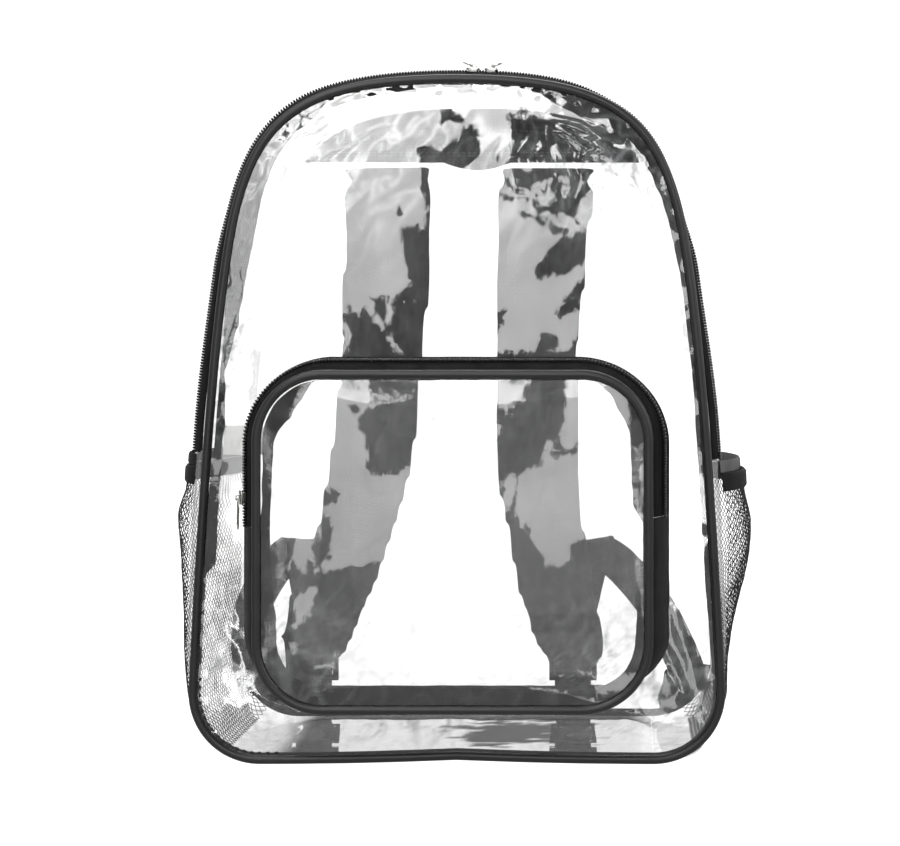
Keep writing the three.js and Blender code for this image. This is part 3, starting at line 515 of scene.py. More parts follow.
def make_object(name: str, shape: Shape, sharp_degrees: float = 50) -> bpy.types.Object:
    """A plain mesh object at the origin.

    Args:
        name: The piece's name.
        shape: Its mesh in millimetres.
        sharp_degrees: Edges that turn by more than this stay sharp.

    Returns:
        The linked object.
    """
    mesh = bpy.data.meshes.new(name)
    mesh.from_pydata((shape.points * MM).tolist(), [], shape.faces)
    mesh.validate()
    if shape.flat is not None:
        layer = mesh.uv_layers.new(name="flat")
        index = np.empty(len(mesh.loops), np.int32)
        mesh.loops.foreach_get("vertex_index", index)
        layer.data.foreach_set("uv", shape.flat[index].astype(np.float32).ravel())
    for key, values in shape.marks.items():
        attribute = mesh.attributes.new(key, "FLOAT", "POINT")
        attribute.data.foreach_set("value", values.astype(np.float32))
    mesh.shade_smooth()
    mesh.set_sharp_from_angle(angle=math.radians(sharp_degrees))
    obj = bpy.data.objects.new(name, mesh)
    bpy.context.scene.collection.objects.link(obj)
    return obj


def evaluated(obj: bpy.types.Object) -> bpy.types.Object:
    """Returns the object with its modifiers' result as its own plain mesh."""
    graph = bpy.context.evaluated_depsgraph_get()
    mesh = bpy.data.meshes.new_from_object(obj.evaluated_get(graph))
    obj.modifiers.clear()
    obj.data = mesh
    return obj


def from_node(name: str, node: str, bevel: float = 0.0, levels: int = 0) -> bpy.types.Object:
    """A finer copy of a small hard solid of the frame.

    Args:
        name: The piece's name.
        node: The solid's name.
        bevel: Radius of its edges.
        levels: Subdivisions that round it.

    Returns:
        The piece, a plain mesh.
    """
    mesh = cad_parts[node].data.copy()
    mesh.materials.clear()
    obj = bpy.data.objects.new(name, mesh)
    bpy.context.scene.collection.objects.link(obj)
    weld = obj.modifiers.new("weld", "WELD")
    weld.merge_threshold = 0.00002
    if bevel:
        edge = obj.modifiers.new("edges", "BEVEL")
        edge.width, edge.segments = bevel * MM, 2
        edge.limit_method, edge.angle_limit = "ANGLE", math.radians(30)
    if levels:
        round_off = obj.modifiers.new("round", "SUBSURF")
        round_off.levels = round_off.render_levels = levels
    evaluated(obj)
    obj.data.shade_smooth()
    obj.data.set_sharp_from_angle(angle=math.radians(40))
    return obj


# Finishes


class Slot(Enum):
    """The record's material slots."""

    CLEAR_VINYL = "clear_vinyl"
    BLACK_PIPING = "black_piping"
    ZIP_TAPE = "zip_tape"
    ZIP_COIL = "zip_coil"
    NICKEL = "nickel"
    BLACK_NYLON = "black_nylon"
    STRAP_FABRIC = "strap_fabric"
    WEBBING = "webbing"
    BLACK_PLASTIC = "black_plastic"
    NET = "net"
    WHITE_LABEL = "white_label"


def add(
    tree: bpy.types.NodeTree,
    kind: str,
    inputs: dict | None = None,
    **settings: object
) -> bpy.types.Node:
    """Adds a node with its settings, and links or sets its inputs.

    Args:
        tree: The node tree.
        kind: The node's type.
        inputs: Sockets to link from, or values, by the input's name or number.
        settings: The node's own properties.

    Returns:
        The node.
    """
    node = tree.nodes.new(kind)
    for key, value in settings.items():
        setattr(node, key, value)
    for key, value in (inputs or {}).items():
        if isinstance(value, bpy.types.NodeSocket):
            tree.links.new(value, node.inputs[key])
        else:
            node.inputs[key].default_value = value
    return node


def calculate(tree: bpy.types.NodeTree, operation: str, *values: object) -> bpy.types.Node:
    """Adds a sum of numbers or outputs to a tree.

    Args:
        tree: The tree.
        operation: What is done with the values.
        values: Its operands in order.

    Returns:
        The node.
    """
    return add(tree, "ShaderNodeMath", dict(enumerate(values)), operation=operation)


def span(
    tree: bpy.types.NodeTree,
    value: object,
    low: object,
    high: object,
    to_low: object = 0.0,
    to_high: object = 1.0,
) -> bpy.types.Node:
    """Adds a node that maps one span of values onto another and keeps inside it.

    Args:
        tree: The tree.
        value: The output that is mapped.
        low: The lower end of its span.
        high: The upper end.
        to_low: What the lower end turns into.
        to_high: What the upper end turns into.

    Returns:
        The node.
    """
    given = {"Value": value, "From Min": low, "From Max": high, "To Min": to_low, "To Max": to_high}
    return add(tree, "ShaderNodeMapRange", given)


def speckle(
    tree: bpy.types.NodeTree,
    at: object,
    scale: float,
    detail: float,
    roughness: float = 0.5,
) -> bpy.types.Node:
    """Adds a cloudy noise.

    Args:
        tree: The tree.
        at: The output with the place.
        scale: How many clouds fit in a metre.
        detail: How many finer layers lie in it.
        roughness: How strong those layers are.

    Returns:
        The node.
    """
    given = {"Vector": at, "Scale": scale, "Detail": detail, "Roughness": roughness}
    return add(tree, "ShaderNodeTexNoise", given)


def new_material(name: str) -> tuple[bpy.types.Material, bpy.types.NodeTree]:
    """Returns an empty node material and its tree."""
    material = bpy.data.materials.new(name)
    material.use_nodes = True
    material.node_tree.nodes.clear()
    return material, material.node_tree


@dataclass(frozen=True)
class PressPolishedVinyl:
    """Plasticised PVC film, press polished: it shows only by its mirror gloss and its creases."""

    slot: Slot = Slot.CLEAR_VINYL
    ior: float = 1.8  # both faces of the film reflect, so one stands for two
    roughness: float = 0.035
    # share of flat grey at creases: partly the film's own crease haze, partly painted shade for the dark room
    # seen through the creases
    crease_haze_and_shade: float = 0.5

    def material(self) -> bpy.types.Material:
        """Returns a see-through film with a Fresnel gloss, grey where it is creased (partly real crease haze,
        partly painted shade), and with a painted dark reflection where its shade mark is set.
        """
        material, tree = new_material("clear_vinyl_film")
        fresnel = add(tree, "ShaderNodeFresnel", {"IOR": self.ior})
        side = add(tree, "ShaderNodeNewGeometry")
        front = calculate(tree, "SUBTRACT", 1.0, side.outputs["Backfacing"])
        double = add(tree, "ShaderNodeAttribute", attribute_name="double")
        power = span(tree, double.outputs["Fac"], 0.0, 1.0, 1.0, 0.05)
        layered = calculate(tree, "POWER", fresnel.outputs[0], power.outputs[0])
        gloss = calculate(tree, "MULTIPLY", layered.outputs[0], front.outputs[0])
        crease = add(tree, "ShaderNodeAttribute", attribute_name="crease")
        place = add(tree, "ShaderNodeTexCoord")
        fine = speckle(tree, place.outputs["Object"], 55.0, 3.0)
        relief = add(
            tree,
            "ShaderNodeBump",
            {"Height": fine.outputs["Fac"], "Strength": 0.16, "Distance": 0.0004},
        )
        tree.links.new(relief.outputs[0], fresnel.inputs["Normal"])
        clear = add(tree, "ShaderNodeBsdfTransparent", {"Color": linear("#fdfdfd")})
        # painted dark reflection: the gloss colour is painted grey where the shade mark is set
        shade = add(tree, "ShaderNodeAttribute", attribute_name="shade")
        painted_dark_gloss = add(
            tree,
            "ShaderNodeMix",
            {"Factor": shade.outputs["Fac"], "A": (1, 1, 1, 1), "B": linear("#4c4c4c")},
            data_type="RGBA",
        )
        mirror = add(
            tree,
            "ShaderNodeBsdfAnisotropic",
            {"Color": painted_dark_gloss.outputs["Result"], "Roughness": self.roughness, "Normal": relief.outputs[0]},
        )
        # flat grey at creases: partly crease haze, partly painted shade
        haze_and_shade = add(tree, "ShaderNodeBsdfDiffuse", {"Color": linear("#a9abac")})
        film = add(
            tree,
            "ShaderNodeMixShader",
            {0: gloss.outputs[0], 1: clear.outputs[0], 2: mirror.outputs[0]},
        )
        haze_and_shade_share = calculate(tree, "MULTIPLY", crease.outputs["Fac"], self.crease_haze_and_shade)
        both = add(
            tree,
            "ShaderNodeMixShader",
            {0: haze_and_shade_share.outputs[0], 1: film.outputs[0], 2: haze_and_shade.outputs[0]},
        )
        add(tree, "ShaderNodeOutputMaterial", {"Surface": both.outputs[0]})
        return material


@dataclass(frozen=True)
class Woven:
    """Black cloth of a given weave: matt, with a fine relief and a little sheen."""

    name: str
    slot: Slot
    colour: str
    worn: str
    pitch: float = 0.9  # thread spacing, coarser than the real 0.4 so that it shows
    roughness: float = 0.8
    depth: float = 0.12
    sheen: float = 0.04
    specular: float = 0.12
    translucent: float = 0.0
    slanted: bool = False

    def material(self) -> bpy.types.Material:
        """Returns the cloth: two crossing thread waves on the flat map, and a mottled colour."""
        material, tree = new_material(self.name)
        place = add(tree, "ShaderNodeUVMap", uv_map="flat")
        turn = math.radians(45) if self.slanted else 0.0
        turned = add(tree, "ShaderNodeMapping", {"Vector": place.outputs[0], "Rotation": (0, 0, turn)})
        waves = []
        for direction in ("X", "Y"):
            waves.append(
                add(
                    tree,
                    "ShaderNodeTexWave",
                    {
                        "Vector": turned.outputs[0],
                        "Scale": 0.314 / (self.pitch * MM),
                        "Distortion": 0.6,
                        "Detail Scale": 2.0,
                    },
                    bands_direction=direction,
                )
            )
        threads = calculate(tree, "MULTIPLY", waves[0].outputs["Fac"], waves[1].outputs["Fac"])
        body = add(tree, "ShaderNodeTexCoord")
        long = add(tree, "ShaderNodeMapping", {"Vector": body.outputs["Object"], "Scale": (1.0, 1.0, 0.35)})
        mottle = speckle(tree, long.outputs[0], 90.0, 5.0, 0.65)
        worn = span(tree, mottle.outputs["Fac"], 0.34, 0.66)
        colour = add(
            tree,
            "ShaderNodeMix",
            {"Factor": worn.outputs[0], "A": linear(self.colour), "B": linear(self.worn)},
            data_type="RGBA",
        )
        relief = add(
            tree, "ShaderNodeBump", {
                "Height": threads.outputs[0],
                "Strength": 0.7,
                "Distance": self.depth * MM,
            }
        )
        shader = add(
            tree,
            "ShaderNodeBsdfPrincipled",
            {
                "Base Color": colour.outputs["Result"],
                "Roughness": self.roughness,
                "Normal": relief.outputs[0],
                "Sheen Weight": self.sheen,
                "Sheen Roughness": 0.5,
                "Specular IOR Level": self.specular,
            },
        )
        surface = shader
        if self.translucent:
            lit = add(tree, "ShaderNodeBsdfTranslucent", {"Color": linear(self.colour)})
            surface = add(
                tree,
                "ShaderNodeMixShader",
                {0: self.translucent, 1: shader.outputs[0], 2: lit.outputs[0]},
            )
        add(tree, "ShaderNodeOutputMaterial", {"Surface": surface.outputs[0]})
        return material


@dataclass(frozen=True)
class Moulded:
    """A smooth solid: moulded plastic, extruded PVC or a plated metal, with a faint surface grain."""

    name: str
    slot: Slot
    colour: str
    worn: str
    roughness: float
    metallic: float = 0.0
    grain: float = 0.8  # size of the grain
    relief: float = 0.05
    coat: float = 0.0
    specular: float = 0.5

    def material(self) -> bpy.types.Material:
        """Returns the finish: colour and gloss that vary a little, over a faint relief."""
        material, tree = new_material(self.name)
        place = add(tree, "ShaderNodeTexCoord")
        fine = speckle(tree, place.outputs["Object"], 1 / (self.grain * MM), 3.0)
        broad = speckle(tree, place.outputs["Object"], 45.0, 2.0)
        colour = add(
            tree,
            "ShaderNodeMix",
            {"Factor": broad.outputs["Fac"], "A": linear(self.colour), "B": linear(self.worn)},
            data_type="RGBA",
        )
        gloss = span(tree, broad.outputs["Fac"], 0.0, 1.0, self.roughness * 0.85, self.roughness * 1.2)
        relief = add(
            tree, "ShaderNodeBump", {
                "Height": fine.outputs["Fac"],
                "Strength": 0.6,
                "Distance": self.relief * MM,
            }
        )
        shader = add(
            tree,
            "ShaderNodeBsdfPrincipled",
            {
                "Base Color": colour.outputs["Result"],
                "Roughness": gloss.outputs[0],
                "Metallic": self.metallic,
                "Normal": relief.outputs[0],
                "Coat Weight": self.coat,
                "Coat Roughness": 0.2,
                "Specular IOR Level": self.specular,
            },
        )
        add(tree, "ShaderNodeOutputMaterial", {"Surface": shader.outputs[0]})
        return material


Finish = PressPolishedVinyl | Woven | Moulded

VINYL = PressPolishedVinyl()
# Extruded PVC cord cover: near black with a soft broad highlight.
PIPING = Moulded("extruded_pvc_piping", Slot.BLACK_PIPING, "#171717", "#202020", 0.42, grain=1.6, relief=0.08)
# Woven polyester zip tape: matt, with a herringbone.
TAPE = Woven(
    "polyester_zip_tape",
    Slot.ZIP_TAPE,
    "#161616",
    "#212121",
    pitch=1.1,
    sheen=0.0,
    specular=0.04,
    slanted=True,
)
# Extruded nylon coil: smooth beads with small highlights.
COIL = Moulded("nylon_zip_coil", Slot.ZIP_COIL, "#2a2a2a", "#3a3a3a", 0.3, specular=0.35)
# Nickel-plated zinc, tumbled: bright and slightly soft.
NICKEL = Moulded("tumbled_nickel_plate", Slot.NICKEL, "#c9c8c5", "#a9a8a4", 0.24, metallic=1.0, relief=0.02)
# Coated nylon pack cloth: near black, plain weave.
NYLON = Woven("coated_nylon_cloth", Slot.BLACK_NYLON, "#181818", "#242424", pitch=1.0)
# Woven polyester over foam: a shade greyer than the pack cloth.
STRAP = Woven(
    "oxford_polyester_strap",
    Slot.STRAP_FABRIC,
    "#1e1e1e",
    "#3e3e3e",
    pitch=0.7,
    depth=0.06,
    sheen=0.12,
)
# Polypropylene webbing: coarse ribs and fuzzy edges.
WEBBING = Woven("ribbed_webbing", Slot.WEBBING, "#232323", "#454545", pitch=1.7, depth=0.4, sheen=0.15)
# Moulded acetal: satin black.
ACETAL = Moulded("moulded_acetal", Slot.BLACK_PLASTIC, "#1a1a1a", "#222222", 0.36, grain=0.5, relief=0.03)
# Twisted nylon thread of the net.
NET_THREAD = Moulded("net_nylon_thread", Slot.NET, "#151515", "#232323", 0.6, grain=0.6, relief=0.1)
# Bonded sewing thread: a shade lighter than the cloth.
THREAD = Moulded("sewing_thread", Slot.BLACK_NYLON, "#3a3a3a", "#585858", 0.6, grain=0.5, relief=0.08)
# The piping's own stitches: waxed black thread.
BLACK_THREAD = Moulded(
    "waxed_black_thread",
    Slot.BLACK_PIPING,
    "#141414",
    "#1e1e1e",
    0.6,
    grain=0.5,
    relief=0.08,
)
# The right end tape: the same black nylon painted a mid grey, a painted highlight where it turns to the
# light.
PAINTED_LIT_END_TAPE = Woven("end_tape_painted_highlight", Slot.BLACK_NYLON, "#565656", "#6c6c6c", pitch=1.0)
# Slit-edge satin tape of a sewn-in label.
SATIN = Woven(
    "white_satin_tape",
    Slot.WHITE_LABEL,
    "#f4f4f2",
    "#e9e9e7",
    pitch=0.8,
    roughness=0.5,
    sheen=0.0,
    translucent=0.85,
)


class Wardrobe:
    """Makes each finish's material once and gives pieces their finish and body."""

    def __init__(self) -> None:
        """Starts with nothing made."""
        self._made: dict[str, bpy.types.Material] = {}

    def material(self, finish: Finish) -> bpy.types.Material:
        """Returns the finish's one material."""
        key = getattr(finish, "name", finish.slot.value)
        if key not in self._made:
            self._made[key] = finish.material()
        return self._made[key]

    def dress(self, obj: bpy.types.Object, finish: Finish, *nodes: str) -> bpy.types.Object:
        """Gives a piece its finish and body, and hides the solids that it replaces.

        Args:
            obj: The piece.
            finish: Its finish.
            nodes: The solids that it replaces.

        Returns:
            The piece.
        """
        obj.data.materials.clear()
        obj.data.materials.append(self.material(finish))
        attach(obj, "root")
        if nodes:
            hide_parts(*nodes)
        log.info("%s: %d faces", obj.name, len(obj.data.polygons))
        return obj


WARDROBE = Wardrobe()


# Repeats, by Geometry Nodes


def socket_ids(tree: bpy.types.NodeTree) -> dict[str, str]:
    """Returns each named input's identifier."""
    items = tree.interface.items_tree
    return {s.name: s.identifier for s in items if s.item_type == "SOCKET" and s.in_out == "INPUT"}


def run_tree(obj: bpy.types.Object, tree: bpy.types.NodeTree, values: dict[str, object]) -> bpy.types.Object:
    """Runs a tree on an object with its named inputs set, and keeps the result as a plain mesh."""
    ids = socket_ids(tree)
    modifier = obj.modifiers.new("repeat", "NODES")
    modifier.node_group = tree
    for key, value in values.items():
        modifier[ids[key]] = value
    evaluated(obj)
    obj.data.shade_smooth()
    return obj


@dataclass
class BeadTree:
    """Sets a rounded bead on each point, turned by the point's own attribute: teeth and stitches."""

    name: str = "beads_on_points"

    def build(self) -> bpy.types.NodeTree:
        """Returns the tree, which ends in real meshes with their material."""
        tree = bpy.data.node_groups.new(self.name, "GeometryNodeTree")
        face = tree.interface
        face.new_socket(name="Points", in_out="INPUT", socket_type="NodeSocketGeometry")
        face.new_socket(name="Bead size", in_out="INPUT", socket_type="NodeSocketVector")
        face.new_socket(name="Segments", in_out="INPUT", socket_type="NodeSocketInt")
        face.new_socket(name="Rings", in_out="INPUT", socket_type="NodeSocketInt")
        face.new_socket(name="Wobble", in_out="INPUT", socket_type="NodeSocketVector")
        face.new_socket(name="Seed", in_out="INPUT", socket_type="NodeSocketInt")
        face.new_socket(name="Material", in_out="INPUT", socket_type="NodeSocketMaterial")
        face.new_socket(name="Beads", in_out="OUTPUT", socket_type="NodeSocketGeometry")
        given = add(tree, "NodeGroupInput").outputs
        ball = add(
            tree, "GeometryNodeMeshUVSphere", {
                "Segments": given["Segments"],
                "Rings": given["Rings"],
                "Radius": 0.5,
            }
        )
        bead = add(
            tree,
            "GeometryNodeTransform",
            {"Geometry": ball.outputs["Mesh"], "Scale": given["Bead size"]},
        )
        turn = add(tree, "GeometryNodeInputNamedAttribute", {"Name": "turn"}, data_type="FLOAT_VECTOR")
        less = add(tree, "ShaderNodeVectorMath", {0: given["Wobble"], "Scale": -1.0}, operation="SCALE")
        chance = add(
            tree,
            "FunctionNodeRandomValue",
            {0: less.outputs[0], 1: given["Wobble"], "Seed": given["Seed"]},
            data_type="FLOAT_VECTOR",
        )
        both = add(tree, "ShaderNodeVectorMath", {0: turn.outputs[0], 1: chance.outputs[0]}, operation="ADD")
        angle = add(tree, "FunctionNodeEulerToRotation", {0: both.outputs[0]})
        placed = add(
            tree,
            "GeometryNodeInstanceOnPoints",
            {"Points": given["Points"], "Instance": bead.outputs[0], "Rotation": angle.outputs[0]},
        )
        real = add(tree, "GeometryNodeRealizeInstances", {0: placed.outputs[0]})
        dressed = add(tree, "GeometryNodeSetMaterial", {0: real.outputs[0], "Material": given["Material"]})
        add(tree, "NodeGroupOutput", {0: dressed.outputs[0]})
        return tree


@dataclass
class ThreadTree:
    """Turns each edge of a mesh into a thin round thread: the net."""

    name: str = "threads_on_edges"

    def build(self) -> bpy.types.NodeTree:
        """Returns the tree, which ends in real meshes with their material."""
        tree = bpy.data.node_groups.new(self.name, "GeometryNodeTree")
        face = tree.interface
        face.new_socket(name="Edges", in_out="INPUT", socket_type="NodeSocketGeometry")
        face.new_socket(name="Thread radius", in_out="INPUT", socket_type="NodeSocketFloat")
        face.new_socket(name="Sides", in_out="INPUT", socket_type="NodeSocketInt")
        face.new_socket(name="Material", in_out="INPUT", socket_type="NodeSocketMaterial")
        face.new_socket(name="Threads", in_out="OUTPUT", socket_type="NodeSocketGeometry")
        given = add(tree, "NodeGroupInput").outputs
        lines = add(tree, "GeometryNodeMeshToCurve", {"Mesh": given["Edges"]})
        circle = add(
            tree, "GeometryNodeCurvePrimitiveCircle", {
                "Resolution": given["Sides"],
                "Radius": given["Thread radius"],
            }
        )
        tubes = add(
            tree,
            "GeometryNodeCurveToMesh",
            {"Curve": lines.outputs[0], "Profile Curve": circle.outputs["Curve"], "Fill Caps": True},
        )
        real = add(tree, "GeometryNodeRealizeInstances", {0: tubes.outputs[0]})
        dressed = add(tree, "GeometryNodeSetMaterial", {0: real.outputs[0], "Material": given["Material"]})
        add(tree, "NodeGroupOutput", {0: dressed.outputs[0]})
        return tree


@dataclass(frozen=True)
class Bead:
    """One repeated bead: its size along the run, across it and out of it, and how round it is."""

    along: float
    across: float
    out: float
    segments: int = 8
    rings: int = 5
    wobble: float = 0.03


def chevrons(at: Array, along: Array, out: Array, width: float, lean: float) -> tuple[Array, Array, Array]:
    """Splits each tooth of a coil into two halves that lean towards each other.

    Args:
        at: The teeth's middles.
        along: The direction of the run at each.
        out: The direction away from the tape at each.
        width: The coil's width.
        lean: How far each half leans along the run, in degrees.

    Returns:
        The halves' middles, their own run directions and their outward directions.
    """
    along = along / np.linalg.norm(along, axis=1, keepdims=True)
    side = np.cross(out, along)
    side /= np.linalg.norm(side, axis=1, keepdims=True)
    cos, sin = math.cos(math.radians(lean)), math.sin(math.radians(lean))
    places = [at + side * width / 4 * way for way in (-1, 1)]
    runs = [along * cos + side * sin * way for way in (-1, 1)]
    return np.concatenate(places), np.concatenate(runs), np.concatenate([out, out])


def turns(along: Array, out: Array) -> Array:
    """Returns the Euler angles whose X runs along and whose Z points out, for each row."""
    found = []
    for a, o in zip(along, out):
        x = Vector(a).normalized()
        z = (Vector(o) - x * Vector(o).dot(x)).normalized()
        y = z.cross(x)
        found.append(Matrix((x, y, z)).transposed().to_euler())
    return np.array([[e.x, e.y, e.z] for e in found])


class Repeater:
    """Holds the two trees and lays beads and threads with them."""

    def __init__(self) -> None:
        """Builds the trees."""
        self.bead_tree = BeadTree().build()
        self.thread_tree = ThreadTree().build()

    def beads(
        self,
        name: str,
        at: Array,
        along: Array,
        out: Array,
        bead: Bead,
        finish: Finish,
    ) -> bpy.types.Object:
        """Lays a bead on each point.

        Args:
            name: The piece's name.
            at: The points in millimetres.
            along: The direction of the run at each point.
            out: The direction away from the surface at each point.
            bead: The bead's size.
            finish: Its finish.

        Returns:
            The beads as one plain mesh.
        """
        mesh = bpy.data.meshes.new(name)
        mesh.from_pydata((at * MM).tolist(), [], [])
        turn = mesh.attributes.new("turn", "FLOAT_VECTOR", "POINT")
        turn.data.foreach_set("vector", turns(along, out).astype(np.float32).ravel())
        obj = bpy.data.objects.new(name, mesh)
        bpy.context.scene.collection.objects.link(obj)
        values = {
            "Bead size": (bead.along * MM, bead.across * MM, bead.out * MM),
            "Segments": bead.segments,
            "Rings": bead.rings,
            "Wobble": (bead.wobble, bead.wobble, bead.wobble),
            "Seed": 7,
            "Material": WARDROBE.material(finish),
        }
        return run_tree(obj, self.bead_tree, values)

    def threads(
        self,
        name: str,
        points: Array,
        edges: list[tuple[int, int]],
        radius: float,
    ) -> bpy.types.Object:
        """Returns a net of round threads along the edges, as one plain mesh."""
        mesh = bpy.data.meshes.new(name)
        mesh.from_pydata((points * MM).tolist(), edges, [])
        obj = bpy.data.objects.new(name, mesh)
        bpy.context.scene.collection.objects.link(obj)
        values = {"Thread radius": radius * MM, "Sides": 5, "Material": WARDROBE.material(NET_THREAD)}
        return run_tree(obj, self.thread_tree, values)


REPEATER = Repeater()


# Film and creases


@dataclass(frozen=True)
class Crease:
    """A straight crease in a panel: its ends, how far it stands up and how wide it is."""

    x0: float
    z0: float
    x1: float
    z1: float
    height: float
    width: float = 2.2


@dataclass(frozen=True)
class Film:
    """How a sheet of film buckles: broad waves, facets with sharp folds, and fine crinkles."""

    seed: float
    broad: float = 0.35
    facet: float = 0.15
    facet_size: float = 62
    crinkle: float = 0.3
    crinkle_size: float = 22
    creases: tuple[Crease, ...] = ()

    def relief(self, x: Array, z: Array, crumple: Array) -> tuple[Array, Array]:
        """The film's height and its creases at points.

        Args:
            x: Distance across the sheet.
            z: Distance along it.
            crumple: How crumpled each place is, 0 to 1.

        Returns:
            The height in millimetres and the crease mark, 0 to 1.
        """
        wave = self.broad * smooth_noise(x / 130, z / 150, self.seed)
        a = smooth_noise(x / self.facet_size, z / (self.facet_size * 1.35), self.seed + 11)
        b = smooth_noise(x / (self.facet_size * 0.45), z / (self.facet_size * 0.6), self.seed + 23)
        c = smooth_noise(x / self.crinkle_size, z / (self.crinkle_size * 1.2), self.seed + 37)
        d = smooth_noise(x / (self.crinkle_size * 0.45), z / (self.crinkle_size * 0.5), self.seed + 53)
        facets = self.facet * (np.abs(a) * 1.6 + np.abs(b) * 0.55)
        crinkles = self.crinkle * crumple * (np.abs(c) * 2.2 + np.abs(d) * 1.0)
        sharp = np.exp(-((c / 0.055) ** 2)) + 0.6 * np.exp(-((d / 0.09) ** 2))
        mark = np.clip(crumple**1.3 * sharp, 0, 1)
        height = wave + facets + crinkles
        for fold in self.creases:
            run = np.array([fold.x1 - fold.x0, fold.z1 - fold.z0])
            length = float(np.linalg.norm(run))
            dx, dz = x - fold.x0, z - fold.z0
            t = np.clip((dx * run[0] + dz * run[1]) / length**2, 0, 1)
            bend = 1.5 * np.sin(t * 9 + fold.x0)
            away = np.hypot(dx - run[0] * t, dz - run[1] * t + bend)
            ends = np.sin(np.pi * t) ** 0.5
            height = height + fold.height * ends * np.exp(-((away / fold.width) ** 2))
            mark = np.maximum(mark, 0.7 * ends * np.exp(-((away / 0.9) ** 2)))
        return height, mark


def panel_rows(outline: Outline, inset: float, pitch: float) -> tuple[Array, Array, Array]:
    """Rows across an outline from its foot to its top.

    Args:
        outline: The outline.
        inset: How far inside it the sheet ends.
        pitch: Distance between rows along the edge.

    Returns:
        Each row's half width and height, and the run to it.
    """
    st = outline.even(1, outline.top, pitch)
    half = np.maximum(0.0, st.x - inset * st.nx)
    half[-1] = 0.0
    z = st.z - inset * st.nz
    return half, z, z - z[0]


def panel_grid(outline: Outline, inset: float, pitch: float, columns: int) -> tuple[Array, Array, Array]:
    """Returns X and Z of a grid of points inside an outline, and its flat map."""
    half, z, _ = panel_rows(outline, inset, pitch)
    share = np.linspace(-1, 1, columns + 1)
    x = half[:, None] * share
    zz = np.repeat(z[:, None], columns + 1, axis=1)
    flat = np.stack([x, zz], -1).reshape(-1, 2) * MM
    return x, zz, flat


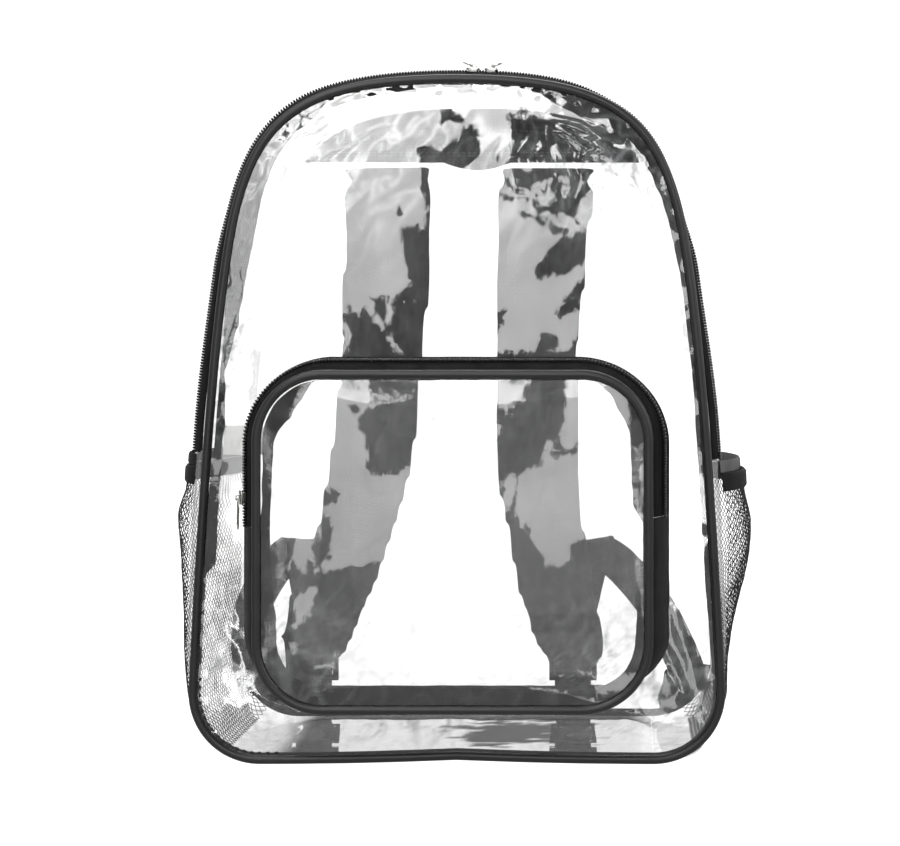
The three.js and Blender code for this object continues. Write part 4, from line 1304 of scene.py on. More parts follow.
@dataclass
class Shell:
    """The clear panels: front, back, gusset, sides and floor."""

    bag: Bag = field(default_factory=Bag)
    pitch: float = 2.6
    strip_pitch: float = 3.2
    doubled_half: float = 128
    front_film: Film = Film(
        seed=3.1,
        creases=(
            Crease(118, 92, 142, 36, 1.6),
            Crease(131, 98, 148, 44, 1.2),
            Crease(128, 100, 126, 80, 0.8),
            Crease(96, 42, 132, 22, 1.0),
            Crease(100, 36, 124, 20, 0.8),
            Crease(-150, 268, -122, 322, 1.2),
            Crease(-142, 254, -128, 300, 0.9),
            Crease(-146, 92, -128, 60, 1.0),
            Crease(-140, 110, -132, 84, 0.9),
            Crease(-128, 48, -96, 30, 0.9),
            Crease(58, 397, 102, 379, 0.3, 1.2),
            Crease(63, 391, 104, 371, 0.3, 1.2),
            Crease(70, 384, 108, 366, 0.3, 1.2),
            Crease(-90, 380, -54, 399, 0.3, 1.2),
            Crease(96, 372, 122, 336, 1.1),
            Crease(84, 380, 112, 352, 0.9),
            Crease(60, 388, 98, 366, 0.8),
            Crease(-112, 372, -74, 392, 0.9),
            Crease(-104, 362, -52, 384, 0.2),
        ),
    )

    def crumple(self, x: Array, z: Array) -> Array:
        """Returns how crumpled the front is: most at the upper right and the lower corners."""
        places = (
            (92, 360, 48, 34, 1.0), (40, 372, 52, 16, 0.6), (-92, 362, 52, 36, 0.75),
            (-30, 378, 50, 18, 0.5), (130, 60, 34, 44, 0.9), (-130, 60, 34, 44, 0.9), (0, 26, 130, 15, 0.7),
            (-140, 270, 18, 70, 0.8), (142, 250, 14, 80, 0.5),
        )
        out = np.full(x.shape, 0.05)
        for cx, cz, rx, rz, much in places:
            out = np.maximum(out, much * np.exp(-(((x - cx) / rx) ** 2) - ((z - cz) / rz) ** 2))
        return out

    def front(self) -> bpy.types.Object:
        """Returns the front panel: domed, buckled, and held flat at its seams."""
        bag = self.bag
        x, z, flat = panel_grid(BODY, bag.piping_r + bag.gap, self.pitch, 126)
        hold = smoothstep(BODY.edge_distance(x, z), 2.5, 26)
        height, mark = self.front_film.relief(x, z, self.crumple(x, z))
        pucker = 0.3 * smooth_noise(x / 7, z / 7, 71) * (1 - hold)
        y = bag.front_y - bag.vinyl / 2 - bag.front_swell(x, z) - height * hold - pucker
        outer = np.stack([x, y, z + bag.foot_rise(x, z)], -1)
        inner = outer + np.array([0, 0.8 * bag.vinyl, 0])
        return make_object("front_sheet", wall(outer, inner, flat=flat, crease=mark))

    def back(self) -> bpy.types.Object:
        """Returns the back panel: the same outline, nearly flat."""
        bag = self.bag
        x, z, flat = panel_grid(BODY, 0, 3.4, 96)
        hold = smoothstep(BODY.edge_distance(x, z), 2.5, 30)
        film = Film(seed=41.0, broad=0.8, facet=0.4, facet_size=80, crinkle=0.2)
        height, mark = film.relief(x, z, np.full(x.shape, 0.15))
        y = bag.back_y - bag.vinyl - np.maximum(0, height) * hold
        outer = np.stack([x, y, z + bag.foot_rise(x, z)], -1)
        inner = outer + np.array([0, 0.8 * bag.vinyl, 0])
        return make_object("back_sheet", wall(outer, inner, flat=flat, crease=mark))

    def strip(
        self,
        name: str,
        start: float,
        end: float,
        depths: Array,
        film: Film,
        much: float,
    ) -> bpy.types.Object:
        """A clear strip of the gusset.

        Args:
            name: The piece's name.
            start: Its first place on the outline.
            end: Its last place.
            depths: Its rows from front to back.
            film: How it buckles.
            much: How crumpled it is.

        Returns:
            The strip.
        """
        st = BODY.even(start, end, self.strip_pitch).column()
        y = depths[None, :]
        hold = smoothstep(np.minimum(y - depths[0], depths[-1] - y), 0, 14)
        length = float(st.run[-1, 0])
        ends = smoothstep(np.minimum(st.run, length - st.run), 0, 14)
        height, mark = film.relief(st.run + 0 * y, y * 1.4 + 0 * st.run, np.full((len(st.run), y.size), much))
        offset = self.bag.gusset_offset(st, y)
        lift = -(np.maximum(height, 0)) * hold * ends
        down = smoothstep(-st.nz, 0.6, 0.98)
        outer = st.offset(offset + lift * (1 - down), y)
        inner = st.offset(offset + lift * (1 - down) - 0.8 * self.bag.vinyl, y)
        outer[..., 2] = np.maximum(outer[..., 2], 0.02)
        buckle = self.floor_buckle(st.x + 0 * y, y + 0 * st.x) * down
        outer[..., 2] += buckle
        inner[..., 2] += buckle
        flat = grid_map(st.run[:, 0], depths - depths[0])
        # painted dark reflection on the floor film, carried in the shade mark
        shade = self.floor_painted_dark_reflection(st.x + 0 * y, y + 0 * st.x) * down
        middle = smoothstep(self.doubled_half - np.abs(st.x), 0, 24)
        marks = {"crease": mark * hold, "double": down * middle + 0 * y, "shade": shade}
        return make_object(name, wall(outer, inner, flat=flat, **marks))

    def floor_painted_dark_reflection(self, x: Array, y: Array) -> Array:
        """Returns where the floor film's gloss colour is painted dark, a painted dark reflection: right of
        the middle, in streaks.
        """
        streaks = smooth_noise(x / 30, y / 7, 59.0) + 0.6 * smooth_noise(x / 11, y / 3.5, 60.0)
        near = 1.25 - np.hypot((x - 34) / 44, (y - 14) / 30) + 0.8 * streaks
        return smoothstep(near, 0.1, 0.55)

    def floor_buckle(self, x: Array, y: Array) -> Array:
        """Returns how far the doubled film of the floor buckles up: a long fold before the back seam."""
        crest = 4.5 * (1 + 0.3 * smooth_noise(x / 34, 0 * x, 55.0) + 0.12 * smooth_noise(x / 9, 0 * x, 57.0))
        inner = self.bag.width / 2 - self.bag.corner_r
        ends = smoothstep(inner + 6 - np.abs(x), 0, 26)
        return crest * ends * smoothstep(y, -12, 42) * smoothstep(-y, -66, -46)

    def build(self) -> None:
        """Builds and dresses every clear panel."""
        bag = self.bag
        area = BODY.area() * MM**2
        front = WARDROBE.dress(self.front(), VINYL, "front_panel")
        back = WARDROBE.dress(self.back(), VINYL, "back_panel")
        side_depths = np.linspace(bag.tape_front_y, bag.gusset_end_y, 40)
        upper_depths = np.linspace(bag.gusset_y, bag.gusset_end_y, 32)
        floor_depths = np.unique(
            np.concatenate(
                [np.linspace(bag.tape_front_y, bag.gusset_end_y, 44), [bag.front_y + 15, bag.back_y - 15]]
            )
        )
        end = BODY.end
        rows = (
            ("gusset_sheet", "upper_gusset", ZIP_RIGHT + SEAM, ZIP_LEFT - SEAM, upper_depths, 17.0, 0.35),
            ("side_sheet_right", "side_panel_right", 1 + SEAM, ZIP_RIGHT - SEAM, side_depths, 21.0, 0.3),
            ("side_sheet_left", "side_panel_left", ZIP_LEFT + SEAM, end - 1 - SEAM, side_depths, 27.0, 0.3),
            ("bottom_sheet", "bottom_panel", end - 1 + SEAM, end + 1 - SEAM, floor_depths, 33.0, 0.2),
        )
        for name, node, start, stop, depths, seed, much in rows:
            film = Film(seed=seed, broad=0.5, facet=0.5, facet_size=45, crinkle=0.3, crinkle_size=16)
            piece = WARDROBE.dress(self.strip(name, start, stop, depths, film, much), VINYL, node)
            length = (BODY.run_to(stop) - BODY.run_to(start)) * MM


# Edges: piping, seams and their stitches


def piping_rod(outline: Outline, y: float, radius: float, sides: int = 16, pitch: float = 2.4) -> Shape:
    """A ring of piping: a round cord cover that undulates a little between its stitches."""
    st = outline.ring(pitch).column()
    a = np.linspace(0, 2 * np.pi, sides, endpoint=False)[None, :]
    wave = 1 + 0.035 * smooth_noise(st.run / 26 + 0 * a, 0 * a + 5.0, 2.2)
    r = radius * wave
    sections = st.offset(r * np.cos(a), y + r * np.sin(a))
    return rod(sections, closed=True, flat=grid_map(st.run[:, 0], a[0] * radius))


def flat_band(
    outline: Outline,
    outer: Array,
    inner: Array,
    y: float,
    thickness: float,
    pitch: float,
) -> Shape:
    """A flat ring between two offsets that may vary round it, four rows wide and slightly rippled."""
    st = outline.ring(pitch).column()
    share = np.linspace(0, 1, 5)[None, :]
    offset = lerp(outer[:, None], inner[:, None], share)
    ripple = 0.25 * smooth_noise(st.run / 9 + 0 * share, share * 2 + 0 * st.run, 9.4) * share
    front, back = st.offset(offset, y + ripple), st.offset(offset, y + thickness + ripple)
    return wall(front, back, closed=True, flat=grid_map(st.run[:, 0], share[0] * 10))


@dataclass(frozen=True)
class SeamWidth:
    """How wide a seam allowance shows inside the piping at a height on one side of its outline.

    Over the top a distance from the middle takes the height's place.
    """

    width: float
    z: float = 0.0
    curve: int = 2
    left: bool = False
    x: float = 0.0


def seam_place(outline: Outline, row: SeamWidth) -> float:
    """Returns the row's place on the outline."""
    if row.x:
        place = outline.at_width(row.curve, row.x)
        return outline.end - place if row.left else place
    return outline.at_height(row.curve, row.z, row.left)


SEAM_RIGHT = (
    SeamWidth(0.9, z=12, curve=1),
    SeamWidth(1.8, z=50),
    SeamWidth(3.2, z=110),
    SeamWidth(3.0, z=180),
    SeamWidth(2.2, z=235),
    SeamWidth(2.8, z=290),
    SeamWidth(5.0, z=345, curve=3),
    SeamWidth(7.0, z=372, curve=3),
    SeamWidth(10.0, z=388, curve=3),
    SeamWidth(11.0, curve=3, x=78),
    SeamWidth(8.0, curve=3, x=64),
    SeamWidth(2.6, curve=3, x=50),
    SeamWidth(0.8, curve=3, x=38),
    SeamWidth(0.5, curve=3, x=4),
)
SEAM_LEFT = (
    SeamWidth(0.9, z=12, curve=1, left=True),
    SeamWidth(1.0, z=60, left=True),
    SeamWidth(1.0, z=116, left=True),
    SeamWidth(6.0, z=122, left=True),
    SeamWidth(6.2, z=210, left=True),
    SeamWidth(3.6, z=241, left=True),
    SeamWidth(9.0, z=272, left=True),
    SeamWidth(11.5, z=325, left=True),
    SeamWidth(10.0, z=358, curve=3, left=True),
    SeamWidth(8.5, z=385, curve=3, left=True),
    SeamWidth(4.6, curve=3, left=True, x=60),
    SeamWidth(2.4, curve=3, left=True, x=20),
    SeamWidth(0.5, curve=3, left=True, x=8),
)


@dataclass
class Edges:
    """The black edges of the body: its piping, the seam inside it and the binding at the back."""

    bag: Bag = field(default_factory=Bag)
    seam_pitch: float = 2.2
    stitch: Bead = Bead(2.9, 1.7, 0.7, segments=6, rings=4)
    binding_height: float = 5
    binding_run: float = 0.9

    def seam(self) -> bpy.types.Object:
        """Returns the seam allowance seen inside the piping, with its wavy inner edge."""
        st = BODY.ring(self.seam_pitch)
        places = [0.0] + [seam_place(BODY, a) for a in SEAM_RIGHT + SEAM_LEFT[::-1]] + [float(BODY.end)]
        widths = [1.2] + [a.width for a in SEAM_RIGHT + SEAM_LEFT[::-1]] + [1.2]
        width = np.interp(st.place, places, widths)
        wave = 0.9 * smooth_noise(
            st.run / 30,
            0 * st.run,
            15.0,
        ) + 0.7 * smooth_noise(st.run / 8, 0 * st.run, 19.0)
        width = width + wave * smoothstep(width, 0.8, 5)
        slit = smoothstep(-st.x, 100, 120) * smoothstep(st.z, 160, 185) * smoothstep(-st.z, -290, -255)
        outer = -self.bag.piping_r + 0.6 - slit * (1.5 + 0.4 * smooth_noise(st.run / 20, 0 * st.run, 23.0))
        y = self.bag.front_y + self.bag.vinyl / 2 + self.bag.gap + 1.0
        return make_object(
            "front_seam_tape", flat_band(BODY, outer, -self.bag.piping_r - width, y, 0.8, self.seam_pitch)
        )

    def seam_stitches(self) -> bpy.types.Object:
        """Returns the stitches that show inside the piping round the lower left corner."""
        runs = np.arange(BODY.run_to(5.97), BODY.run_to(7.1), 5.2)
        places = np.interp(runs, BODY._runs, BODY._places)
        st = BODY.at(places)
        at = st.offset(-self.bag.piping_r - 1.5, self.bag.front_y - self.bag.vinyl / 2 - 0.5)
        along = np.stack([-st.nz, 0 * st.nx, st.nx], -1)
        out = np.tile([0.0, -1.0, 0.0], (len(runs), 1))
        return REPEATER.beads("corner_stitches", at, along, out, self.stitch, BLACK_THREAD)

    def back_binding(self) -> bpy.types.Object:
        """Returns the dark binding along the lower edge of the back."""
        st = BODY.even(BODY.end - 1 - self.binding_run, BODY.end + 1 + self.binding_run, 3).column()
        share = np.linspace(0, 1, 4)[None, :]
        y = self.bag.back_y + self.bag.gap
        wave = 0.4 * smooth_noise(st.run / 18 + 0 * share, share + 0 * st.run, 29.0)
        front = st.offset(-self.binding_height * share, y)
        back = st.offset(-self.binding_height * share, y + 1.3 + wave * share * (1 - share))
        return make_object("back_bottom_tape", wall(front, back, flat=grid_map(st.run[:, 0], share[0] * 5)))

    def build(self) -> None:
        """Builds and dresses the edges."""
        cord = make_object("main_piping_cord", piping_rod(BODY, self.bag.front_y, self.bag.piping_r))
        WARDROBE.dress(cord, PIPING, "main_piping")
        WARDROBE.dress(self.seam(), NYLON, "front_seam")
        WARDROBE.dress(self.seam_stitches(), BLACK_THREAD)
        WARDROBE.dress(self.back_binding(), NYLON, "back_bottom_binding")


# The main zip


@dataclass
class MainZip:
    """The zip round the top: two tapes, the coil, two sliders and their pulls."""

    bag: Bag = field(default_factory=Bag)
    tooth: Bead = Bead(0.95, 3.9, 2.3, segments=8, rings=5, wobble=0.02)
    pitch: float = 1.75

    def tape(self, name: str, front: float) -> bpy.types.Object:
        """Returns one tape, from its front edge."""
        bag = self.bag
        st = BODY.even(ZIP_RIGHT + SEAM, ZIP_LEFT - SEAM, 3).column()
        under = bag.coil_width / 2 + bag.gap - 0.05
        first = front < bag.coil_y
        low, high = (
            front,
            front + bag.tape_width + under,
        ) if first else (front - under, front + bag.tape_width)
        y = np.linspace(low, high, 12)[None, :]
        sunk = (y > bag.coil_y - 0.1) & (y < bag.coil_y + bag.coil_width + 0.1)
        offset = bag.gusset_offset(st, y) + 0.12 * smooth_noise(
            st.run / 14 + 0 * y,
            y / 9 + 0 * st.run,
            61.0,
        ) - 0.5 * sunk
        flat = grid_map(st.run[:, 0], y[0] - low)
        return make_object(
            name,
            wall(st.offset(offset, y), st.offset(offset - bag.fabric * 0.8, y), flat=flat),
        )

    def coil(self) -> bpy.types.Object:
        """Returns the coil's teeth, each turned across the zip."""
        bag = self.bag
        st = BODY.even(ZIP_RIGHT + SEAM, ZIP_LEFT - SEAM, self.pitch)
        y = bag.coil_y + bag.coil_width / 2
        at = st.offset(bag.gusset_offset(st, y) + bag.coil_height * 0.45, y)
        out = np.stack([st.nx, 0 * st.nx, st.nz], -1)
        teeth = chevrons(at, np.gradient(at, axis=0), out, bag.coil_width, 24)
        return REPEATER.beads("main_zip_coil", *teeth, self.tooth, COIL)

    def build(self) -> None:
        """Builds and dresses the zip."""
        WARDROBE.dress(self.tape("main_zip_tape_front", self.bag.tape_front_y), TAPE, "main_tape_front")
        WARDROBE.dress(self.tape("main_zip_tape_rear", self.bag.tape_rear_y), TAPE, "main_tape_rear")
        WARDROBE.dress(self.coil(), COIL, "main_coil")
        for side in ("left", "right"):
            body = from_node(f"main_zip_slider_{side}", f"main_slider_{side}", bevel=0.25)
            WARDROBE.dress(body, NICKEL, f"main_slider_{side}")
            pull = from_node(f"main_zip_pull_{side}", f"main_pull_{side}", levels=2)
            WARDROBE.dress(pull, NICKEL, f"main_pull_{side}")


# The front pocket


POCKET_SEAM_RIGHT = (
    SeamWidth(8.0, z=45, curve=1),
    SeamWidth(5.0, z=80),
    SeamWidth(4.0, z=100),
    SeamWidth(0.6, z=106),
    SeamWidth(0.6, z=150),
    SeamWidth(6.5, z=160),
    SeamWidth(8.0, z=195),
    SeamWidth(8.5, z=225, curve=3),
    SeamWidth(0.8, z=237.5, curve=3),
)
POCKET_SEAM_LEFT = (
    SeamWidth(10.5, z=45, curve=1, left=True),
    SeamWidth(9.0, z=85, left=True),
    SeamWidth(5.0, z=132, left=True),
    SeamWidth(5.5, z=160, left=True),
    SeamWidth(7.0, z=195, left=True),
    SeamWidth(13.0, z=222, curve=3, left=True),
    SeamWidth(9.0, z=234, curve=3, left=True),
    SeamWidth(0.8, z=238, curve=3, left=True),
)


@dataclass
class FrontPocket:
    """The zipped pocket on the front: its clear face, black wall, piping and zip."""

    bag: Bag = field(default_factory=Bag)
    width: float = 234
    height: float = 200
    bottom: float = 38.5
    depth: float = 30
    corner_r: float = 40
    side_flare: float = 12.8
    top_flare: float = 10.6
    bottom_rise: float = 9
    bulge: float = 5
    zip_end_left: float = 147
    zip_end_right: float = 153
    tooth: Bead = Bead(0.95, 3.9, 2.3, segments=8, rings=5, wobble=0.02)
    corner_pull: float = 3
    film: Film = Film(seed=63.0, broad=0.25, facet=0.1, facet_size=58, crinkle=0.25, crinkle_size=20)

    def __post_init__(self) -> None:
        """Works out the pocket's outline and where its zip ends."""
        half, inner = self.width / 2, self.width / 2 - self.corner_r
        low, high, r = self.bottom, self.bottom + self.height, self.corner_r
        self.outline = Outline(
            [
                Bezier(((0, low), (inner, low))),
                Arc((inner, low + r), r, -90, 0),
                Bezier(((half, low + r), (half, high - r))),
                Arc((inner, high - r), r, 0, 90),
                Bezier(((inner, high), (0, high))),
            ]
        )
        self.y = self.bag.front_y - self.depth
        self.zip_right = self.outline.at_height(2, self.zip_end_right)
        self.zip_left = self.outline.at_height(2, self.zip_end_left, left=True)
        wall_depth = self.depth - self.bag.piping_r - self.bag.vinyl / 2 - 2 * self.bag.gap
        self.coil_from = self.bag.tape_width / wall_depth
        self.coil_to = self.coil_from + self.bag.coil_width / wall_depth
        self.share_gap = self.bag.gap / wall_depth

    def swell(self, x: Array, z: Array) -> Array:
        """Returns how far the pocket's face swells forward at points."""
        middle = self.bottom + self.height / 2
        across = np.clip(1 - (x / (self.width / 2)) ** 2, 0, 1)
        return self.bulge * across * np.clip(1 - ((z - middle) / (self.height / 2)) ** 2, 0, 1)

    def surface(self, st: Stations, share: Array | float, above: Array | float = 0.0) -> Array:
        """Points on the pocket's wall.

        Args:
            st: Stations of its outline, as a column where share is a row.
            share: How far from the front edge to the base, 0 to 1.
            above: Distance off the wall.

        Returns:
            The points, with X, Y and Z last.
        """
        up, down = np.maximum(0, st.nz) ** 2, np.maximum(0, -st.nz) ** 2
        spread = (1 - up - down) * self.side_flare + up * self.top_flare
        spread = spread - self.corner_pull * np.abs(st.nx * st.nz)
        offset = spread * share**0.5 - down * self.bottom_rise * share + above
        p = st.offset(offset, 0.0)
        front = self.y + self.bag.piping_r + self.bag.gap
        base = self.bag.front_y - self.bag.vinyl / 2 - self.bag.gap - self.bag.front_swell(
            p[..., 0],
            p[..., 2],
        )
        p[..., 1] = lerp(front, base, share)
        return p

    def strip(
        self,
        name: str,
        start: float,
        end: float,
        shares: Array,
        sag: float = 0.15,
    ) -> bpy.types.Object:
        """Returns a strip of the wall between two places, from share to share."""
        st = self.outline.even(start, end, 2.8).column()
        share = shares[None, :]
        wave = sag * smooth_noise(st.run / 16 + 0 * share, share * 3 + 0 * st.run, 83.0)
        zipped = end < self.outline.end
        sunk = 0.5 * ((share > self.coil_from - 0.01) & (share < self.coil_to + 0.01)) * zipped
        outer = self.surface(st, share, wave - sunk)
        inner = self.surface(st, share, wave - sunk - self.bag.fabric * 0.8)
        flat = grid_map(st.run[:, 0], shares * self.depth)
        return make_object(name, wall(outer, inner, flat=flat))

    def coil(self) -> bpy.types.Object:
        """Returns the teeth of the pocket's coil."""
        st = self.outline.even(self.zip_right, self.zip_left, 1.75)
        middle = (self.coil_from + self.coil_to) / 2
        at = self.surface(st, middle, self.bag.coil_height * 0.45)
        out = np.stack([st.nx, 0 * st.nx, st.nz], -1)
        teeth = chevrons(at, np.gradient(at, axis=0), out, self.bag.coil_width, 24)
        return REPEATER.beads("pocket_zip_coil", *teeth, self.tooth, COIL)

    def face(self) -> bpy.types.Object:
        """Returns the pocket's clear face, domed and buckled."""
        bag = self.bag
        x, z, flat = panel_grid(self.outline, bag.piping_r + bag.gap, 2.5, 92)
        hold = smoothstep(self.outline.edge_distance(x, z), 2.5, 24)
        crumple = 0.15 + 0.5 * np.exp(-(((np.abs(x) - 85) / 26) ** 2) - ((z - 70) / 30) ** 2)
        height, mark = self.film.relief(x, z, crumple)
        y = self.y - bag.vinyl / 2 - self.swell(x, z) - height * hold
        outer = np.stack([x, y, z], -1)
        return make_object("pocket_sheet", wall(outer, outer + np.array([0, 0.8, 0]), flat=flat, crease=mark))

    def seam(self) -> bpy.types.Object:
        """Returns the black seam allowance inside the pocket's piping."""
        st = self.outline.ring(2.2)
        places = [0.0] + [seam_place(self.outline, a) for a in POCKET_SEAM_RIGHT + POCKET_SEAM_LEFT[::-1]]
        widths = [10.5] + [a.width for a in POCKET_SEAM_RIGHT + POCKET_SEAM_LEFT[::-1]] + [10.5]
        width = np.interp(st.place, places + [float(self.outline.end)], widths)
        wave = 0.7 * smooth_noise(
            st.run / 26,
            0 * st.run,
            91.0,
        ) + 0.5 * smooth_noise(st.run / 8, 0 * st.run, 95.0)
        width = width + wave * smoothstep(width, 0.8, 5)
        slit = smoothstep(-st.x, 60, 100) * smoothstep(st.z, 150, 165)
        outer = -self.bag.piping_r + 0.6 - slit * (1.2 + 0.8 * smooth_noise(st.run / 14, 0 * st.run, 97.0))
        y = self.y + self.bag.vinyl / 2 + self.bag.gap + 1.0
        shape = flat_band(self.outline, outer, -self.bag.piping_r - width, y, 0.8, 2.2)
        return make_object("pocket_seam_tape", shape)

    def build(self) -> None:
        """Builds and dresses the pocket."""
        bag = self.bag
        area = self.outline.area() * MM**2
        face = WARDROBE.dress(self.face(), VINYL, "pocket_panel")
        cord = make_object("pocket_piping_cord", piping_rod(self.outline, self.y, bag.piping_r))
        WARDROBE.dress(cord, PIPING, "pocket_piping")
        WARDROBE.dress(self.seam(), NYLON, "pocket_seam")
        end = self.outline.end
        front = self.strip(
            "pocket_zip_tape_front",
            self.zip_right,
            self.zip_left,
            np.linspace(0, (self.coil_from + self.coil_to) / 2 - 0.002, 9),
        )
        WARDROBE.dress(front, TAPE, "pocket_tape_front")
        rear = self.strip(
            "pocket_zip_tape_rear",
            self.zip_right,
            self.zip_left,
            np.linspace((self.coil_from + self.coil_to) / 2 + 0.002, 1, 9),
        )
        WARDROBE.dress(rear, TAPE, "pocket_tape_rear")
        lower = self.strip(
            "pocket_wall",
            self.zip_left + SEAM,
            end + self.zip_right - SEAM,
            np.linspace(0, 1, 12),
            0.5,
        )
        WARDROBE.dress(lower, NYLON, "pocket_gusset")
        length = self.outline.run_to(end + self.zip_right) - self.outline.run_to(self.zip_left)
        WARDROBE.dress(self.coil(), COIL, "pocket_coil")
        WARDROBE.dress(from_node("pocket_zip_slider", "pocket_slider", bevel=0.25), NICKEL, "pocket_slider")
        WARDROBE.dress(from_node("pocket_zip_pull", "pocket_pull", levels=2), NICKEL, "pocket_pull")


# Webbing, straps and what holds them


def catmull(points: Array, steps: int) -> Array:
    """Points of a centripetal Catmull-Rom curve.

    Args:
        points: The points that it passes through.
        steps: Steps from each to the next.

    Returns:
        The curve's points, the first and last of the given ones included.
    """
    full = np.concatenate([[2 * points[0] - points[1]], points, [2 * points[-1] - points[-2]]])
    out = []
    for i in range(len(points) - 1):
        p = full[i : i + 4]
        t = np.concatenate([[0.0], np.cumsum(np.linalg.norm(np.diff(p, axis=0), axis=1) ** 0.5)])
        for s in np.linspace(t[1], t[2], steps, endpoint=False):
            a = [((t[k + 1] - s) * p[k] + (s - t[k]) * p[k + 1]) / (t[k + 1] - t[k]) for k in range(3)]
            b = [((t[k + 2] - s) * a[k] + (s - t[k]) * a[k + 1]) / (t[k + 2] - t[k]) for k in range(2)]
            out.append(((t[2] - s) * b[0] + (s - t[1]) * b[1]) / (t[2] - t[1]))
    out.append(points[-1])
    return np.array(out)


@dataclass(frozen=True)
class Knot:
    """A point of a ribbon's centre line, and the slant of its width from level, in degrees."""

    x: float
    y: float
    z: float
    slant: float = 0.0


def ribbon(
    knots: Sequence[Knot],
    width: float,
    thickness: float,
    steps: int = 8,
    upright: bool = False,
) -> Shape:
    """A flat woven band along a smooth path, with thinner edges.

    Args:
        knots: Its centre line.
        width: Its width.
        thickness: Its thickness.
        steps: Steps between knots.
        upright: Its width stands up, not level.

    Returns:
        The band.
    """
    path = catmull(np.array([[k.x, k.y, k.z] for k in knots]), steps)
    slants = np.radians(
        np.interp(np.linspace(0, len(knots) - 1, len(path)), range(len(knots)), [k.slant for k in knots])
    )
    tangent = np.gradient(path, axis=0)
    tangent /= np.linalg.norm(tangent, axis=1, keepdims=True)
    level = np.zeros_like(path)
    level[:, 1 if upright else 0] = np.sin(slants) if upright else np.cos(slants)
    level[:, 2] = np.cos(slants) if upright else np.sin(slants)
    wide = level - tangent * np.sum(level * tangent, axis=1, keepdims=True)
    wide /= np.linalg.norm(wide, axis=1, keepdims=True)
    thick = np.cross(tangent, wide)
    share = np.array([-1, -0.93, -0.6, -0.2, 0.2, 0.6, 0.93, 1])
    half = np.array([0.35, 1, 1, 1, 1, 1, 1, 0.35]) * thickness / 2
    run = np.concatenate([[0.0], np.cumsum(np.linalg.norm(np.diff(path, axis=0), axis=1))])
    fray = 1 + 0.012 * smooth_noise(run / 1.7, 0 * run, 4.4)
    centre = path[:, None, :] + wide[:, None, :] * (share[None, :] * width / 2 * fray[:, None])[..., None]
    lift = thick[:, None, :] * half[None, :, None]
    return wall(centre + lift, centre - lift, flat=grid_map(run, share * width / 2))


@dataclass(frozen=True)
class StrapRow:
    """One level of a shoulder strap: up is a share of its height, across of half the bag's width,
    wide of the strap's width and thick of its thickness."""

    up: float
    across: float
    wide: float
    thick: float


LEFT_ROWS = (
    StrapRow(0, -0.768, 0.33, 0.4),
    StrapRow(0.033, -0.734, 0.46, 0.7),
    StrapRow(0.058, -0.692, 0.65, 0.8),
    StrapRow(0.085, -0.683, 0.77, 0.8),
    StrapRow(0.17, -0.63, 0.93, 0.95),
    StrapRow(0.3, -0.525, 0.9, 1),
    StrapRow(0.4, -0.467, 0.95, 1),
    StrapRow(0.49, -0.437, 0.95, 1),
    StrapRow(0.65, -0.405, 0.95, 1),
    StrapRow(0.8, -0.382, 1, 1),
    StrapRow(0.93, -0.373, 1, 0.9),
    StrapRow(1, -0.37, 1, 0.4),
)
RIGHT_ROWS = (
    StrapRow(0, 0.4, 0.36, 0.4),
    StrapRow(0.029, 0.408, 0.48, 0.7),
    StrapRow(0.058, 0.407, 0.64, 0.8),
    StrapRow(0.085, 0.395, 0.77, 0.8),
    StrapRow(0.17, 0.345, 0.89, 0.95),
    StrapRow(0.3, 0.295, 0.89, 1),
    StrapRow(0.4, 0.258, 0.93, 1),
    StrapRow(0.49, 0.252, 0.96, 1),
    StrapRow(0.65, 0.255, 0.96, 1),
    StrapRow(0.8, 0.272, 1.03, 1),
    StrapRow(0.93, 0.295, 1.07, 0.9),
    StrapRow(1, 0.305, 1.08, 0.4),
)


